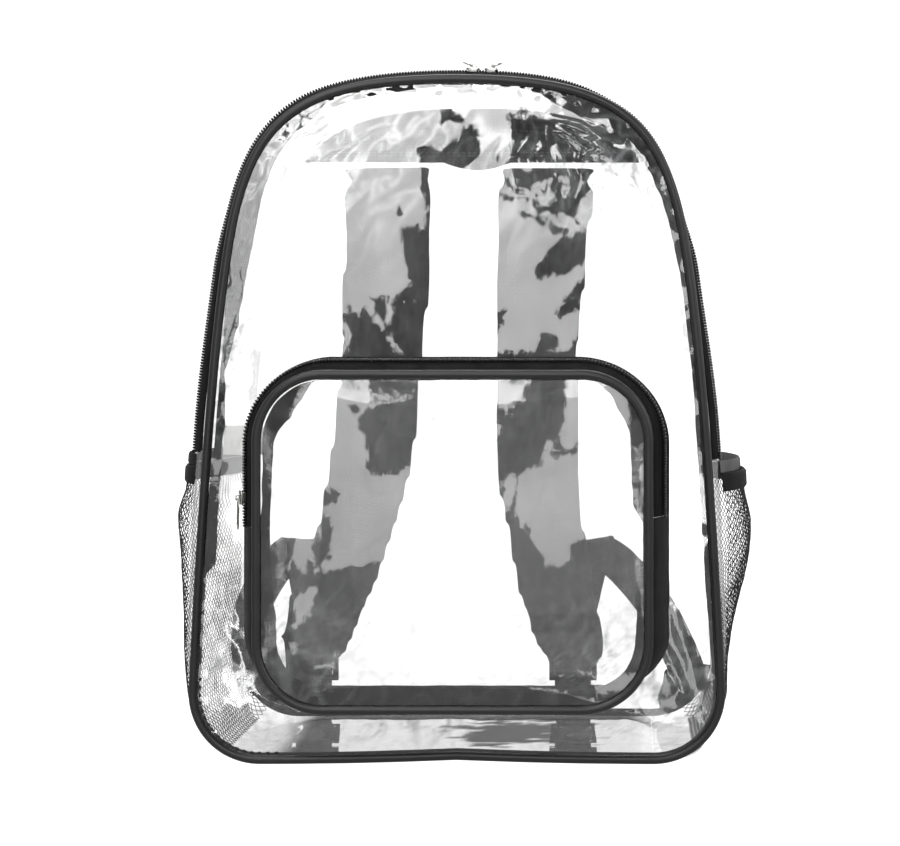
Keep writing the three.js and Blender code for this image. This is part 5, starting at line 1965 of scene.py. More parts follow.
@dataclass
class Harness:
    """One side's shoulder strap with its adjuster, webbing and corner tab."""

    side: str
    rows: tuple[StrapRow, ...]
    loop_x: float
    slant: float
    lock_place: float
    loop_bow: float
    bag: Bag = field(default_factory=Bag)
    width: float = 66
    thickness: float = 10
    end_z: float = 20
    bow: float = 9
    rest: float = 3
    band_height: float = 37
    webbing_width: float = 25
    webbing: float = 1.5
    tail_z: float = 4
    loop_top: float = 121
    loop_depth: float = 9
    lock_height: float = 27
    lock_thickness: float = 3
    lock_bar: float = 4
    lock_z: float = 24
    lock_air: float = 1.5
    lock_clear: float = 1.5
    tab: float = 44
    below_lock: float = 4
    above_lock: float = 6

    @property
    def sign(self) -> float:
        """-1 on the left and 1 on the right."""
        return -1.0 if self.side == "left" else 1.0

    @property
    def lock_x(self) -> float:
        """Middle of the adjuster."""
        return self.lock_place * self.bag.width / 2

    @property
    def lock_front(self) -> float:
        """Depth of the adjuster's near face."""
        gap = self.bag.gap
        at = self.bag.back_y + gap + self.standoff(0.08) + self.thickness * 0.8
        return at + self.webbing + 3 * gap + self.lock_air

    @property
    def lock_top(self) -> float:
        """Height of the adjuster's top."""
        return self.lock_z + self.lock_height

    @property
    def tab_y(self) -> float:
        """Depth of the corner tab's near face."""
        return self.bag.back_y + 2 * self.bag.gap + 1.5

    def standoff(self, up: Array | float) -> Array | float:
        """Returns how far the strap's inner face stands off the back at a share of its height."""
        return self.bow * np.sin(np.pi * np.clip(up, 0, 1) ** 0.75) + self.rest * (1 - up)

    def pad(self) -> bpy.types.Object:
        """Returns the strap's pad, swollen by its foam and sewn down along its edges."""
        ups = [r.up for r in self.rows]
        up = np.unique(np.concatenate([np.linspace(0, 1, 84), ups]))
        columns = [
            np.interp(up, ups, [getattr(r, k) for r in self.rows]) for k in ("across", "wide", "thick")
        ]
        kernel = np.array([1, 2, 3, 2, 1]) / 9
        smooth = [np.convolve(np.pad(c, 2, mode="edge"), kernel, "valid") for c in columns]
        across, wide, thick = (c[:, None] for c in smooth)
        up = up[:, None]
        z = lerp(self.end_z, self.bag.height - self.band_height + 0.3, up)
        half = self.thickness * thick / 2
        y = self.bag.back_y + self.bag.gap + self.standoff(up) + half
        a = np.linspace(0, 2 * np.pi, 32, endpoint=False)[None, :]
        c, s = np.cos(a), np.sin(a)
        x = across * self.bag.width / 2 + np.sign(c) * np.abs(c) ** 0.6 * self.width * wide / 2
        yy = y + np.sign(s) * np.abs(s) ** 0.75 * half * 0.92
        sections = np.stack(np.broadcast_arrays(x, yy, z), -1)
        obj = make_object(f"strap_pad_{self.side}", rod(sections))
        swell(obj, voxel=4.5, pressure=3.0, cap=2.0)
        return self.sew(obj)

    def sew(self, obj: bpy.types.Object) -> bpy.types.Object:
        """Presses a stitched channel along both edges of the pad, puckers it and maps it flat."""
        ups = [r.up for r in self.rows]
        mesh = obj.data
        p = np.empty(len(mesh.vertices) * 3)
        mesh.vertices.foreach_get("co", p)
        p = p.reshape(-1, 3) / MM
        top = self.bag.height - self.band_height - self.bag.gap
        up = np.clip((p[:, 2] - self.end_z) / (top - self.end_z), 0, 1)
        across = np.interp(up, ups, [r.across for r in self.rows]) * self.bag.width / 2
        half = np.interp(up, ups, [r.wide for r in self.rows]) * self.width / 2
        thick = np.interp(up, ups, [r.thick for r in self.rows]) * self.thickness / 2
        middle = self.bag.back_y + self.bag.gap + self.standoff(up) + thick
        inboard = half - np.abs(p[:, 0] - across)
        groove = np.exp(-(((inboard - 6.5) / 1.8) ** 2)) + 0.35 * (inboard < 6.5)
        pucker = smooth_noise(p[:, 2] / 5.5, np.sign(p[:, 0] - across) * 3.0, 47.0)
        squeeze = 1 - np.clip(groove, 0, 1) * (0.36 + 0.12 * pucker)
        p[:, 1] = middle + (p[:, 1] - middle) * squeeze
        p[:, 1] = np.maximum(p[:, 1], self.bag.back_y + self.bag.gap)
        mesh.vertices.foreach_set("co", (p * MM).ravel())
        layer = mesh.uv_layers.get("flat") or mesh.uv_layers.new(name="flat")
        index = np.empty(len(mesh.loops), np.int32)
        mesh.loops.foreach_get("vertex_index", index)
        layer.data.foreach_set("uv", (p[:, [0, 2]] * MM)[index].astype(np.float32).ravel())
        mesh.shade_smooth()
        return obj

    def lock_loop(self) -> bpy.types.Object:
        """Returns the short webbing that holds the adjuster to the strap."""
        x, clear, front = self.lock_x, self.lock_clear, self.lock_front
        gap, rear = self.bag.gap, self.lock_front + self.lock_thickness + self.lock_clear
        strap_y = self.bag.back_y + gap + self.standoff(0.1) + self.thickness * 0.85 + gap + self.bag.fabric
        under, over = self.lock_top - self.lock_bar - clear, self.lock_top + clear
        knots = [
            Knot(x, strap_y, over + 1),
            Knot(x, front - clear, self.lock_top - 1),
            Knot(x, front - clear, under + 1),
            Knot(x, front + self.lock_thickness / 2, under),
            Knot(x, rear, under + 1),
            Knot(x, rear, self.lock_top - 0.5),
            Knot(x, front, over + 2.5),
            Knot(x, strap_y, over + self.above_lock),
        ]
        return make_object(
            f"adjuster_loop_{self.side}",
            ribbon(knots, self.webbing_width, self.bag.fabric, 5),
        )

    def lower_webbing(self) -> bpy.types.Object:
        """Returns the webbing from the corner up to its turn, down through the adjuster to its tail."""
        gap, x = self.bag.gap, self.lock_x
        corner_y = self.tab_y + self.bag.fabric + 2 * gap + self.webbing / 2
        cx = self.sign * (self.bag.width / 2 - self.bag.corner_r * 0.3)
        cz = self.bag.corner_r * 0.42
        front = self.lock_front + self.lock_thickness + self.lock_clear + (
            self.bag.fabric + self.webbing
        ) / 2 + 2 * gap
        rear = front + self.loop_depth
        turn_x, turn_z = self.loop_x, self.loop_top
        lower = self.lock_z + self.lock_bar + (self.lock_height - 3 * self.lock_bar) / 4

        def rising(t: float, y: float, s: float) -> Knot:
            """Returns a point of the webbing between the tab and its upper turn."""
            bow = self.sign * self.loop_bow * math.sin(math.pi * t)
            return Knot(lerp(cx, turn_x, t) + bow, y, lerp(cz, turn_z, t), s)

        def falling(t: float, y: float) -> Knot:
            """Returns a point of the webbing between its upper turn and the adjuster."""
            return Knot(lerp(turn_x, x, t), y, lerp(turn_z, self.lock_top + self.above_lock, t))

        near = self.lock_front - gap - self.webbing
        knots = [
            Knot(cx, corner_y, cz, self.slant),
            rising(0.22, lerp(corner_y, front, 0.45), self.slant),
            rising(0.55, lerp(corner_y, front, 0.9), self.slant),
            rising(0.84, front, self.slant * 0.8),
            Knot(turn_x, front, turn_z - self.loop_depth / 2, self.slant * 0.5),
            Knot(turn_x, (front + rear) / 2, turn_z, self.slant * 0.3),
            Knot(turn_x, rear, turn_z - self.loop_depth / 2, self.slant * 0.1),
            falling(0.3, rear),
            falling(0.6, rear - self.loop_depth * 0.3),
            Knot(x, front + gap, self.lock_top),
            Knot(x, front - 2 * gap, lower + self.above_lock),
            Knot(x, self.lock_front + self.lock_thickness / 2, lower),
            Knot(x, near, lower - self.below_lock),
            Knot(x, near, self.tail_z),
        ]
        return make_object(f"strap_webbing_{self.side}", ribbon(knots, self.webbing_width, self.webbing, 7))

    def corner(self) -> bpy.types.Object:
        """Returns the fabric tab that the webbing is sewn to."""
        left = self.side == "left"
        start, end = (BODY.end - 1.9, BODY.end - 1.1) if left else (1.1, 1.9)
        st = BODY.even(start, end, 2.5).column()
        share = st.run / st.run[-1, 0]
        reach = lerp(0.3, 0.62, np.sin(share * np.pi))
        inward = lerp(-self.bag.gap, -self.tab * reach, np.linspace(0, 1, 10)[None, :])
        front = st.offset(inward, self.tab_y)
        back = st.offset(inward, self.tab_y + self.bag.fabric)
        flat = grid_map(st.run[:, 0], np.linspace(0, 20, 10))
        return make_object(f"corner_patch_{self.side}", wall(front, back, flat=flat))

    def build(self) -> None:
        """Builds and dresses this side."""
        side = self.side
        pad = WARDROBE.dress(self.pad(), STRAP, f"strap_{side}")
        WARDROBE.dress(
            from_node(f"adjuster_{side}", f"ladder_lock_{side}", bevel=0.5),
            ACETAL,
            f"ladder_lock_{side}",
        )
        WARDROBE.dress(self.lock_loop(), WEBBING, f"lock_loop_{side}")
        WARDROBE.dress(self.lower_webbing(), WEBBING, f"webbing_{side}")
        WARDROBE.dress(self.corner(), NYLON, f"corner_tab_{side}")


def swell(obj: bpy.types.Object, voxel: float, pressure: float, cap: float) -> None:
    """Swells a closed shape as filled cloth, with no point moving further than a cap.

    Args:
        obj: The piece, whose mesh is replaced.
        voxel: Size of the remeshed faces.
        pressure: The filling's pressure.
        cap: The furthest that a point may move.
    """
    remesh = obj.modifiers.new("even", "REMESH")
    remesh.mode, remesh.voxel_size = "VOXEL", voxel * MM
    evaluated(obj)
    count = len(obj.data.vertices)
    before = np.empty(count * 3)
    obj.data.vertices.foreach_get("co", before)
    cloth = obj.modifiers.new("filling", "CLOTH")
    cloth.settings.use_pressure = True
    cloth.settings.uniform_pressure_force = pressure
    cloth.settings.effector_weights.gravity = 0
    scene = bpy.context.scene
    for step in range(1, 21):
        scene.frame_set(step)
    evaluated(obj)
    scene.frame_set(1)
    after = np.empty(count * 3)
    obj.data.vertices.foreach_get("co", after)
    move = (after - before).reshape(-1, 3)
    size = np.linalg.norm(move, axis=1, keepdims=True)
    move *= np.minimum(1, cap * MM / np.maximum(size, 1e-9))
    obj.data.vertices.foreach_set("co", (before.reshape(-1, 3) + move).ravel())
    finer = obj.modifiers.new("finer", "SUBSURF")
    finer.levels = finer.render_levels = 1
    evaluated(obj)


@dataclass
class BackTop:
    """The stitched band at the top of the back, and the handle sewn to it."""

    bag: Bag = field(default_factory=Bag)
    band_height: float = 37
    haul_span: float = 84
    haul_below: float = 18
    haul_droop: float = 10
    haul_standoff: float = 16
    stitch: Bead = Bead(2.4, 0.6, 0.5, segments=6, rings=4)

    def band(self) -> bpy.types.Object:
        """Returns the band, slightly puckered between its rows of stitches."""
        bag, low = self.bag, self.bag.height - self.band_height
        start = BODY.at_height(3, low)
        st = BODY.even(start, BODY.top, 1.8)
        half = st.x.copy()
        half[-1] = 0
        share = np.linspace(-1, 1, 90)
        x = half[:, None] * share
        z = np.repeat(st.z[:, None], 90, axis=1)
        pucker = 0.35 * smooth_noise(x / 9, z / 16, 7.0)
        y = bag.back_y + bag.gap
        front = np.stack([x, np.full(x.shape, y), z], -1)
        back = np.stack([x, y + 1.25 + pucker * 0.5, z], -1)
        flat = np.stack([x, z], -1).reshape(-1, 2) * MM
        return make_object("top_band_cloth", wall(front, back, flat=flat))

    def stitches(self) -> bpy.types.Object:
        """Returns the band's two rows of stitches, on both faces: an arched one and a straight one."""
        bag, low = self.bag, self.bag.height - self.band_height
        rows = []
        for z0, sag, half in ((low + 4.5, 0.0, 98), (low + 6.5, 0.0, 98), (low + 23, 9.0, 84)):
            x = np.arange(-half, half, 3.6)
            rows.append(np.stack([x, z0 - sag * (x / 84) ** 2], -1))
        xz = np.concatenate(rows)
        at, out = [], []
        for y, way in ((bag.back_y + bag.gap - 0.05, -1.0), (bag.back_y + bag.gap + 1.5, 1.0)):
            at.append(np.stack([xz[:, 0], np.full(len(xz), y), xz[:, 1]], -1))
            out.append(np.tile([0.0, way, 0.0], (len(xz), 1)))
        along = np.tile([1.0, 0.0, 0.0], (2 * len(xz), 1))
        return REPEATER.beads(
            "band_stitches",
            np.concatenate(at),
            along,
            np.concatenate(out),
            self.stitch,
            THREAD,
        )

    def handle(self) -> bpy.types.Object:
        """Returns the short webbing handle, bowed off the band."""
        bag = self.bag
        y = bag.back_y + 3 * bag.gap + 1.5 + 0.75
        z = bag.height - self.haul_below
        shares = (
            (-1, 0, 0), (-0.72, 0.2, 0.15), (-0.38, 0.8, 0.7), (0, 1, 1), (0.38, 0.8, 0.7),
            (0.72, 0.2, 0.15), (1, 0, 0),
        )
        knots = [
            Knot(s * self.haul_span / 2, y + out * self.haul_standoff, z - drop * self.haul_droop, -8 * out)
            for s, out, drop in shares
        ]
        return make_object("haul_handle", ribbon(knots, 25, 1.5, 8, upright=True))

    def build(self) -> None:
        """Builds and dresses the band, its stitches and the handle."""
        band = WARDROBE.dress(self.band(), NYLON, "top_band")
        low = BODY.at_height(3, self.bag.height - self.band_height)
        half_width = float(BODY.at(np.array([low])).x[0])
        WARDROBE.dress(self.stitches(), THREAD)
        WARDROBE.dress(self.handle(), WEBBING, "haul_loop")


# Side pockets


def used_points(points: Array, edges: list[tuple[int, int]]) -> tuple[Array, list[tuple[int, int]]]:
    """Returns only the points that edges use, and the edges renumbered."""
    used = np.unique(np.array(edges))
    place = np.full(len(points), -1)
    place[used] = np.arange(len(used))
    return points[used], [(int(place[a]), int(place[b])) for a, b in edges]


@dataclass
class SidePocket:
    """One side's net pocket with its hem and the tape over the end of the zip."""

    side: str
    hem_z: float
    bulge: float
    zip_end: float
    slump: float
    bag: Bag = field(default_factory=Bag)
    hem_height: float = 11.5
    hem_thickness: float = 2.2
    net_thickness: float = 1.2
    low_place: float = 1.35
    end_tape: float = 7.5
    tape_standoff: float = 0.85
    cell_along: float = 2.4
    cell_across: float = 2.5
    thread: float = 0.23

    @property
    def left(self) -> bool:
        """True on the left side."""
        return self.side == "left"

    def lift(self, st: Stations, y: Array | float) -> Array:
        """Returns how far the net stands off the side at stations and depths."""
        low = float(BODY.at(np.array([self.low_place])).z[0])
        v = np.clip((st.z - low) / (self.hem_z - low), 0, 1)
        full = v**1.1 if self.left else smoothstep(v, 0.3, 0.8)
        full = full * (1 + self.slump * smoothstep(v, 0.4, 0.85) * smoothstep(-v, -1.0, -0.86))
        share = np.clip((y - self.bag.front_y) / self.bag.depth, 0, 1)
        return self.bulge * full * np.sin(np.pi * share) ** 0.55

    def places(self, low_z: float, high_z: float) -> tuple[float, float]:
        """Returns the places on the side between two heights, in the outline's order."""
        a, b = (BODY.at_height(2, z, self.left) for z in (low_z, high_z))
        return (b, a) if self.left else (a, b)

    def net(self) -> bpy.types.Object:
        """Returns the net: diamonds of thread, evenly spaced along the pocket's curved wall."""
        bag = self.bag
        top = BODY.at_height(2, self.hem_z + 0.5, self.left)
        start, end = (top, BODY.end - self.low_place) if self.left else (self.low_place, top)
        st = BODY.even(start, end, self.cell_along)
        fine = np.linspace(bag.tape_front_y, bag.gusset_end_y, 400)
        full_row = BODY.at(np.array([BODY.at_height(2, self.hem_z * 0.8, self.left)])).column()
        profile = (bag.gusset_offset(full_row, fine[None, :]) + self.lift(full_row, fine[None, :]))[0]
        length = np.concatenate([[0.0], np.cumsum(np.hypot(np.diff(fine), np.diff(profile)))])
        columns = int(length[-1] / self.cell_across)
        y = np.interp(np.linspace(0, length[-1], columns + 1), length, fine)
        rows = len(st.run)
        i, j = np.meshgrid(np.arange(rows), np.arange(columns + 1), indexing="ij")
        rng = np.random.default_rng(5 if self.left else 6)
        jitter = rng.normal(0, 0.12, (rows, columns + 1, 3))
        run = np.clip(st.run[:, None] + jitter[..., 0], 0, st.run[-1])
        place = np.interp(run, st.run, st.place)
        flat_st = BODY.at(place.ravel())
        parts = (flat_st.place, flat_st.x, flat_st.z, flat_st.nx, flat_st.nz, flat_st.run)
        grid = Stations(*(v.reshape(place.shape) for v in parts))
        depth = np.clip(y[None, :] + jitter[..., 1], y[0], y[-1])
        slack = 0.9 * smooth_noise(run / 26, depth / 30, 77.0 if self.left else 79.0)
        offset = bag.gusset_offset(grid, depth) + self.lift(grid, depth) + bag.gap + self.net_thickness / 2
        edge = smoothstep(np.minimum(depth - y[0], y[-1] - depth), 0, 12)
        foot = 1 - smoothstep(run if not self.left else st.run[-1] - run, 0, 16)
        offset = offset - foot * (bag.gap + self.net_thickness + 1.4)
        points = grid.offset(
            offset + (jitter[..., 2] * 0.7 + slack) * edge * (1 - foot),
            depth,
        ).reshape(-1, 3)
        points[:, 2] = np.maximum(points[:, 2], 1.0)
        key = i * (columns + 1) + j
        even = (i + j) % 2 == 0
        falling, rising = even[:-1, :-1], even[:-1, 1:]
        edges = list(zip(key[:-1, :-1][falling].tolist(), key[1:, 1:][falling].tolist()))
        edges += list(zip(key[:-1, 1:][rising].tolist(), key[1:, :-1][rising].tolist()))
        points, edges = used_points(points, edges)
        return REPEATER.threads(f"side_net_{self.side}", points, edges, self.thread)

    def band(
        self,
        name: str,
        low_z: float,
        high_z: float,
        thickness: float,
        standoff: float,
        ripple: float,
    ) -> bpy.types.Object:
        """A fabric band round the side at the net's standoff.

        Args:
            name: The piece's name.
            low_z: Height of its lower edge.
            high_z: Height of its upper edge.
            thickness: Its thickness.
            standoff: Share of the net's own standoff.
            ripple: How far it ripples.

        Returns:
            The band.
        """
        bag = self.bag
        start, end = self.places(low_z, high_z)
        st = BODY.even(start, end, 1.6).column()
        y = np.linspace(bag.tape_front_y, bag.gusset_end_y, 56)[None, :]
        wave = ripple * smooth_noise(y / 4.5 + 0 * st.run, st.run / 12 + 0 * y, 101.0)
        edge = smoothstep(np.minimum(st.run, st.run[-1, 0] - st.run), 0, 1.6)
        base = bag.gusset_offset(st, y) + self.lift(st, y) * standoff + bag.gap
        round_off = thickness * (0.55 + 0.45 * edge)
        outer = st.offset(base + round_off + wave * edge, y)
        flat = grid_map(st.run[:, 0], y[0])
        return make_object(name, wall(outer, st.offset(base, y), flat=flat))

    def build(self) -> None:
        """Builds and dresses this side's pocket."""
        net = WARDROBE.dress(self.net(), NET_THREAD, f"mesh_pocket_{self.side}")
        hem = self.band(
            f"net_hem_{self.side}",
            self.hem_z + 0.3,
            self.hem_z + self.hem_height,
            self.hem_thickness,
            1.0,
            0.5,
        )
        WARDROBE.dress(hem, NYLON, f"mesh_hem_{self.side}")
        low_z = self.zip_end - self.end_tape
        tape = self.band(
            f"zip_end_cover_{self.side}",
            low_z,
            self.zip_end - 0.3,
            1.2,
            self.tape_standoff,
            0.1,
        )
        # the right end tape takes the painted highlight finish; the left one stays plain black nylon
        WARDROBE.dress(tape, NYLON if self.left else PAINTED_LIT_END_TAPE, f"zip_end_tape_{self.side}")
        log.info("net of %s: %d faces", self.side, len(net.data.polygons))


@dataclass
class CareLabel:
    """The small bare label sewn into the left seam."""

    bag: Bag = field(default_factory=Bag)
    inset: float = 9
    width: float = 24
    height: float = 18
    thickness: float = 0.6
    lift: float = 8.5

    def build(self) -> None:
        """Builds the label as a slightly curled tape and dresses it."""
        bag = self.bag
        z0 = bag.zip_end_left + self.lift
        place = BODY.at_height(2, z0)
        x0 = -float(BODY.at(np.array([place])).x[0]) + self.inset
        u, v = np.linspace(0, self.width, 18), np.linspace(-self.height / 2, self.height / 2, 16)
        x, z = np.meshgrid(x0 + u, z0 + v, indexing="ij")
        y0 = bag.front_y + bag.vinyl / 2 + 2 * bag.gap + 1
        curl = 1.5 * ((x - x0) / self.width) ** 2 + 0.3 * np.sin((z - z0) / 5)
        front = np.stack([x, y0 + curl, z], -1)
        back = front + np.array([0, self.thickness, 0])
        label = make_object("seam_label", wall(front, back, flat=grid_map(u, v)))
        WARDROBE.dress(label, SATIN, "care_label")


# The studio


@dataclass(frozen=True)
class Tracing:
    """Shapes of a light card as they are to be seen in the 900 by 846 frame.

    Their points are drawn from a corner of the frame at a zoom, so that small ones keep their form.
    """

    corner: tuple[float, float]
    zoom: float
    dark: tuple[tuple[tuple[float, float], ...], ...] = ()
    bright: tuple[tuple[tuple[float, float], ...], ...] = ()
    glare: tuple[tuple[tuple[float, float], ...], ...] = ()

    def in_frame(self, shape: tuple[tuple[float, float], ...]) -> Array:
        """Returns a shape's points in the frame's own pixels."""
        return np.array(shape, float) / self.zoom + np.array(self.corner)


def inside_distance(x: Array, y: Array, shape: Array) -> Array:
    """Returns each point's distance inside a polygon's edge, negative outside it."""
    a, b = shape, np.roll(shape, -1, axis=0)
    best = np.full(x.shape, 1e9)
    inside = np.zeros(x.shape, bool)
    for (ax, ay), (bx, by) in zip(a, b):
        dx, dy = bx - ax, by - ay
        t = np.clip(((x - ax) * dx + (y - ay) * dy) / max(dx * dx + dy * dy, 1e-9), 0, 1)
        best = np.minimum(best, np.hypot(x - ax - t * dx, y - ay - t * dy))
        if ay != by:
            cross = ((ay > y) != (by > y)) & (x < (bx - ax) * (y - ay) / (by - ay) + ax)
            inside ^= cross
    return np.where(inside, best, -best)


@dataclass
class Studio:
    """A white floor and surround, soft lights, broken light cards for the film, and the camera."""

    camera_at: tuple[float, float, float] = (0.106, -1.238, 0.250)
    lens: float = 76.4
    sensor: float = 36.0
    shift: tuple[float, float] = (-0.2003, -0.0753)
    frame_size: tuple[int, int] = (900, 846)
    white: float = 1.45
    ambient: float = 0.2
    card_reach: float = 0.15
    level_rows: tuple[float, ...] = (90, 165, 200, 235, 300, 360, 480, 560, 700)
    levels: tuple[float, ...] = (9.0, 7.6, 6.2, 5.3, 4.9, 4.9, 3.7, 3.1, 3.1)
    glare: float = 10.0

    def floor(self) -> None:
        """A plain pale floor that turns to the white of the surround away from the bag."""
        bpy.ops.mesh.primitive_plane_add(size=30)
        floor = bpy.context.object
        floor.name = "studio_floor"
        floor.location.z = -0.0002
        material, tree = new_material("matt_white_floor")
        place = add(tree, "ShaderNodeTexCoord")
        ray = add(tree, "ShaderNodeLightPath")
        distance = add(tree, "ShaderNodeVectorMath", {0: place.outputs["Object"]}, operation="LENGTH")
        far = span(tree, distance.outputs["Value"], 0.16, 0.34, 0.8, 1.0)
        strength = add(
            tree,
            "ShaderNodeMix",
            {"Factor": ray.outputs["Is Camera Ray"], "A": 0.5, "B": self.white},
            data_type="FLOAT",
        )
        near = add(tree, "ShaderNodeBsdfDiffuse", {"Color": linear("#f2f2f2")})
        glow = add(tree, "ShaderNodeEmission", {"Color": (1, 1, 1, 1), "Strength": strength.outputs[0]})
        lit = add(tree, "ShaderNodeMixShader", {0: far.outputs[0], 1: near.outputs[0], 2: glow.outputs[0]})
        add(tree, "ShaderNodeOutputMaterial", {"Surface": lit.outputs[0]})
        floor.data.materials.append(material)
        floor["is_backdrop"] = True

    def surround(self) -> None:
        """A white world to the eye, whose light is white behind the bag and dimmer before it."""
        world = bpy.data.worlds.new("studio_surround")
        bpy.context.scene.world = world
        world.use_nodes = True
        tree = world.node_tree
        tree.nodes.clear()
        ray = add(tree, "ShaderNodeLightPath")
        way = add(tree, "ShaderNodeTexCoord")
        parts = add(tree, "ShaderNodeSeparateXYZ", {0: way.outputs["Generated"]})
        behind = span(tree, parts.outputs["Y"], -0.1, 0.3, self.ambient, 0.9)
        strength = add(
            tree,
            "ShaderNodeMix",
            {"Factor": ray.outputs["Is Camera Ray"], "A": behind.outputs[0], "B": self.white},
            data_type="FLOAT",
        )
        light = add(tree, "ShaderNodeBackground", {"Color": (1, 1, 1, 1), "Strength": strength.outputs[0]})
        add(tree, "ShaderNodeOutputWorld", {"Surface": light.outputs[0]})

    def through(self, u: Array, v: Array) -> tuple[Array, Array]:
        """Returns the sideways and upward slope of the view ray at points of the frame."""
        wide, high = self.frame_size
        focal = self.lens / self.sensor * wide
        u0 = wide / 2 - self.shift[0] * wide
        v0 = high / 2 + self.shift[1] * wide
        return (u - u0) / focal, (v0 - v) / focal

    def mirrored(
        self,
        u: Array,
        v: Array,
        depth: Callable[[Array, Array], Array],
    ) -> tuple[Array, Array, float]:
        """Where a card must stand to be mirrored at points of the frame.

        Args:
            u: The points' columns.
            v: Their rows.
            depth: The smooth panel's depth at X and Z, in millimetres.

        Returns:
            X and Z on the card in millimetres, and the card's depth.
        """
        sx, sz = self.through(u, v)
        cx, cy, cz = (c / MM for c in self.camera_at)
        y = np.full(u.shape, float(np.min(depth(np.zeros(1), np.array([200.0])))))
        for _ in range(4):
            x, z = cx + sx * (y - cy), cz + sz * (y - cy)
            y = depth(x, z)
        step = 2.0
        gx = (depth(x + step, z) - depth(x - step, z)) / (2 * step)
        gz = (depth(x, z + step) - depth(x, z - step)) / (2 * step)
        n = np.stack([gx, -np.ones_like(gx), gz], -1)
        n /= np.linalg.norm(n, axis=-1, keepdims=True)
        d = np.stack([sx, np.ones_like(sx), sz], -1)
        r = d - 2 * n * np.sum(d * n, axis=-1, keepdims=True)
        card_y = float(y.min()) - self.card_reach / MM
        t = (card_y - y) / r[..., 1]
        return x + r[..., 0] * t, z + r[..., 2] * t, card_y

    def card(
        self,
        name: str,
        film: bpy.types.Object,
        depth: Callable[[Array, Array], Array],
        box: tuple[float, float, float, float],
        tracings: Sequence[Tracing],
        seed: float,
    ) -> None:
        """A light card that only one sheet of film mirrors, with dark places in it.

        Args:
            name: The card's name.
            film: The sheet that mirrors it.
            depth: That sheet's smooth depth at X and Z, in millimetres.
            box: Left, top, right and bottom of the card in the frame.
            tracings: Its dark and bright shapes, in order.
            seed: Picks its clouding.
        """
        left, top, right, bottom = box
        u, v = np.meshgrid(np.arange(left, right, 3.0), np.arange(top, bottom, 3.0), indexing="ij")
        edge = np.minimum(np.minimum(u - left, right - u), np.minimum(v - top, bottom - v)) - 4
        for tracing in tracings:
            for shape in tracing.dark:
                edge = np.minimum(edge, -inside_distance(u, v, tracing.in_frame(shape)))
            for shape in tracing.bright:
                edge = np.maximum(edge, inside_distance(u, v, tracing.in_frame(shape)))
        cloud = smooth_noise(u / 46, v / 60, seed) + 0.5 * smooth_noise(u / 15, v / 22, seed + 3)
        level = np.interp(v, self.level_rows, self.levels)
        level = level * (1 - 0.2 * smoothstep(-u, -285, -255))
        fold = 1 - np.abs(smooth_noise((u + 0.7 * v) / 20 + 0.6 * cloud, (v - 0.5 * u) / 55, seed + 9))
        upper = smoothstep(-v, -320, -150)
        level = level * (1 + 0.16 * cloud + upper * 0.8 * (fold**8 - 0.3))
        level = level * (1 + 0.16 * smoothstep(-u, -420, -330) * smoothstep(-v, -330, -120))
        for tracing in tracings:
            for shape in tracing.glare:
                inside = inside_distance(u, v, tracing.in_frame(shape))
                level = lerp(level, self.glare, smoothstep(inside, -1, 5))
                edge = np.maximum(edge, inside)
        x, z, y = self.mirrored(u, v, depth)
        rows, cols = u.shape
        index = np.arange(rows * cols).reshape(rows, cols)
        corners = (index[:-1, :-1], index[1:, :-1], index[1:, 1:], index[:-1, 1:])
        faces = [tuple(int(k) for k in f) for f in np.stack([c.ravel() for c in corners], -1)]
        points = np.stack([x, np.full(x.shape, y), z], -1).reshape(-1, 3)
        marks = {"edge": edge.ravel(), "level": level.ravel()}
        card = make_object(name, Shape(points, faces, None, marks))
        card.data.materials.append(self.card_light())
        card.visible_camera = card.visible_diffuse = card.visible_shadow = card.visible_transmission = False
        only = bpy.data.collections.new(name + "_receivers")
        only.objects.link(film)
        card.light_linking.receiver_collection = only
        card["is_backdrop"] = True

    def card_light(self) -> bpy.types.Material:
        """Returns the cards' glow: see-through, and bright where the edge distance is above zero."""
        if "light_card" in bpy.data.materials:
            return bpy.data.materials["light_card"]
        material, tree = new_material("light_card")
        place = add(tree, "ShaderNodeTexCoord")
        edge = add(tree, "ShaderNodeAttribute", attribute_name="edge")
        level = add(tree, "ShaderNodeAttribute", attribute_name="level")
        ragged = speckle(tree, place.outputs["Object"], 130.0, 7.0, 0.7)
        centred = calculate(tree, "SUBTRACT", ragged.outputs["Fac"], 0.5)
        pushed = calculate(tree, "MULTIPLY_ADD", centred.outputs[0], 9.0, edge.outputs["Fac"])
        upright = add(
            tree,
            "ShaderNodeMapping",
            {"Vector": place.outputs["Object"], "Scale": (1.0, 1.0, 0.45)},
        )
        brushed = speckle(tree, upright.outputs[0], 260.0, 5.0, 0.7)
        level_off = calculate(tree, "SUBTRACT", brushed.outputs["Fac"], 0.5)
        jagged = calculate(tree, "MULTIPLY_ADD", level_off.outputs[0], 22.0, pushed.outputs[0])
        clouded = speckle(tree, upright.outputs[0], 48.0, 5.0, 0.62)
        dim = span(tree, clouded.outputs["Fac"], 0.38, 0.64, 0.0, 0.075)
        lit = span(tree, jagged.outputs[0], -0.6, 0.6, dim.outputs[0], 1.0)
        power = calculate(tree, "MULTIPLY", lit.outputs[0], level.outputs["Fac"])
        light = add(tree, "ShaderNodeEmission", {"Color": (1, 1, 1, 1), "Strength": power.outputs[0]})
        clear = add(tree, "ShaderNodeBsdfTransparent")
        both = add(tree, "ShaderNodeAddShader", {0: light.outputs[0], 1: clear.outputs[0]})
        add(tree, "ShaderNodeOutputMaterial", {"Surface": both.outputs[0]})
        material.cycles.emission_sampling = "NONE"
        return material

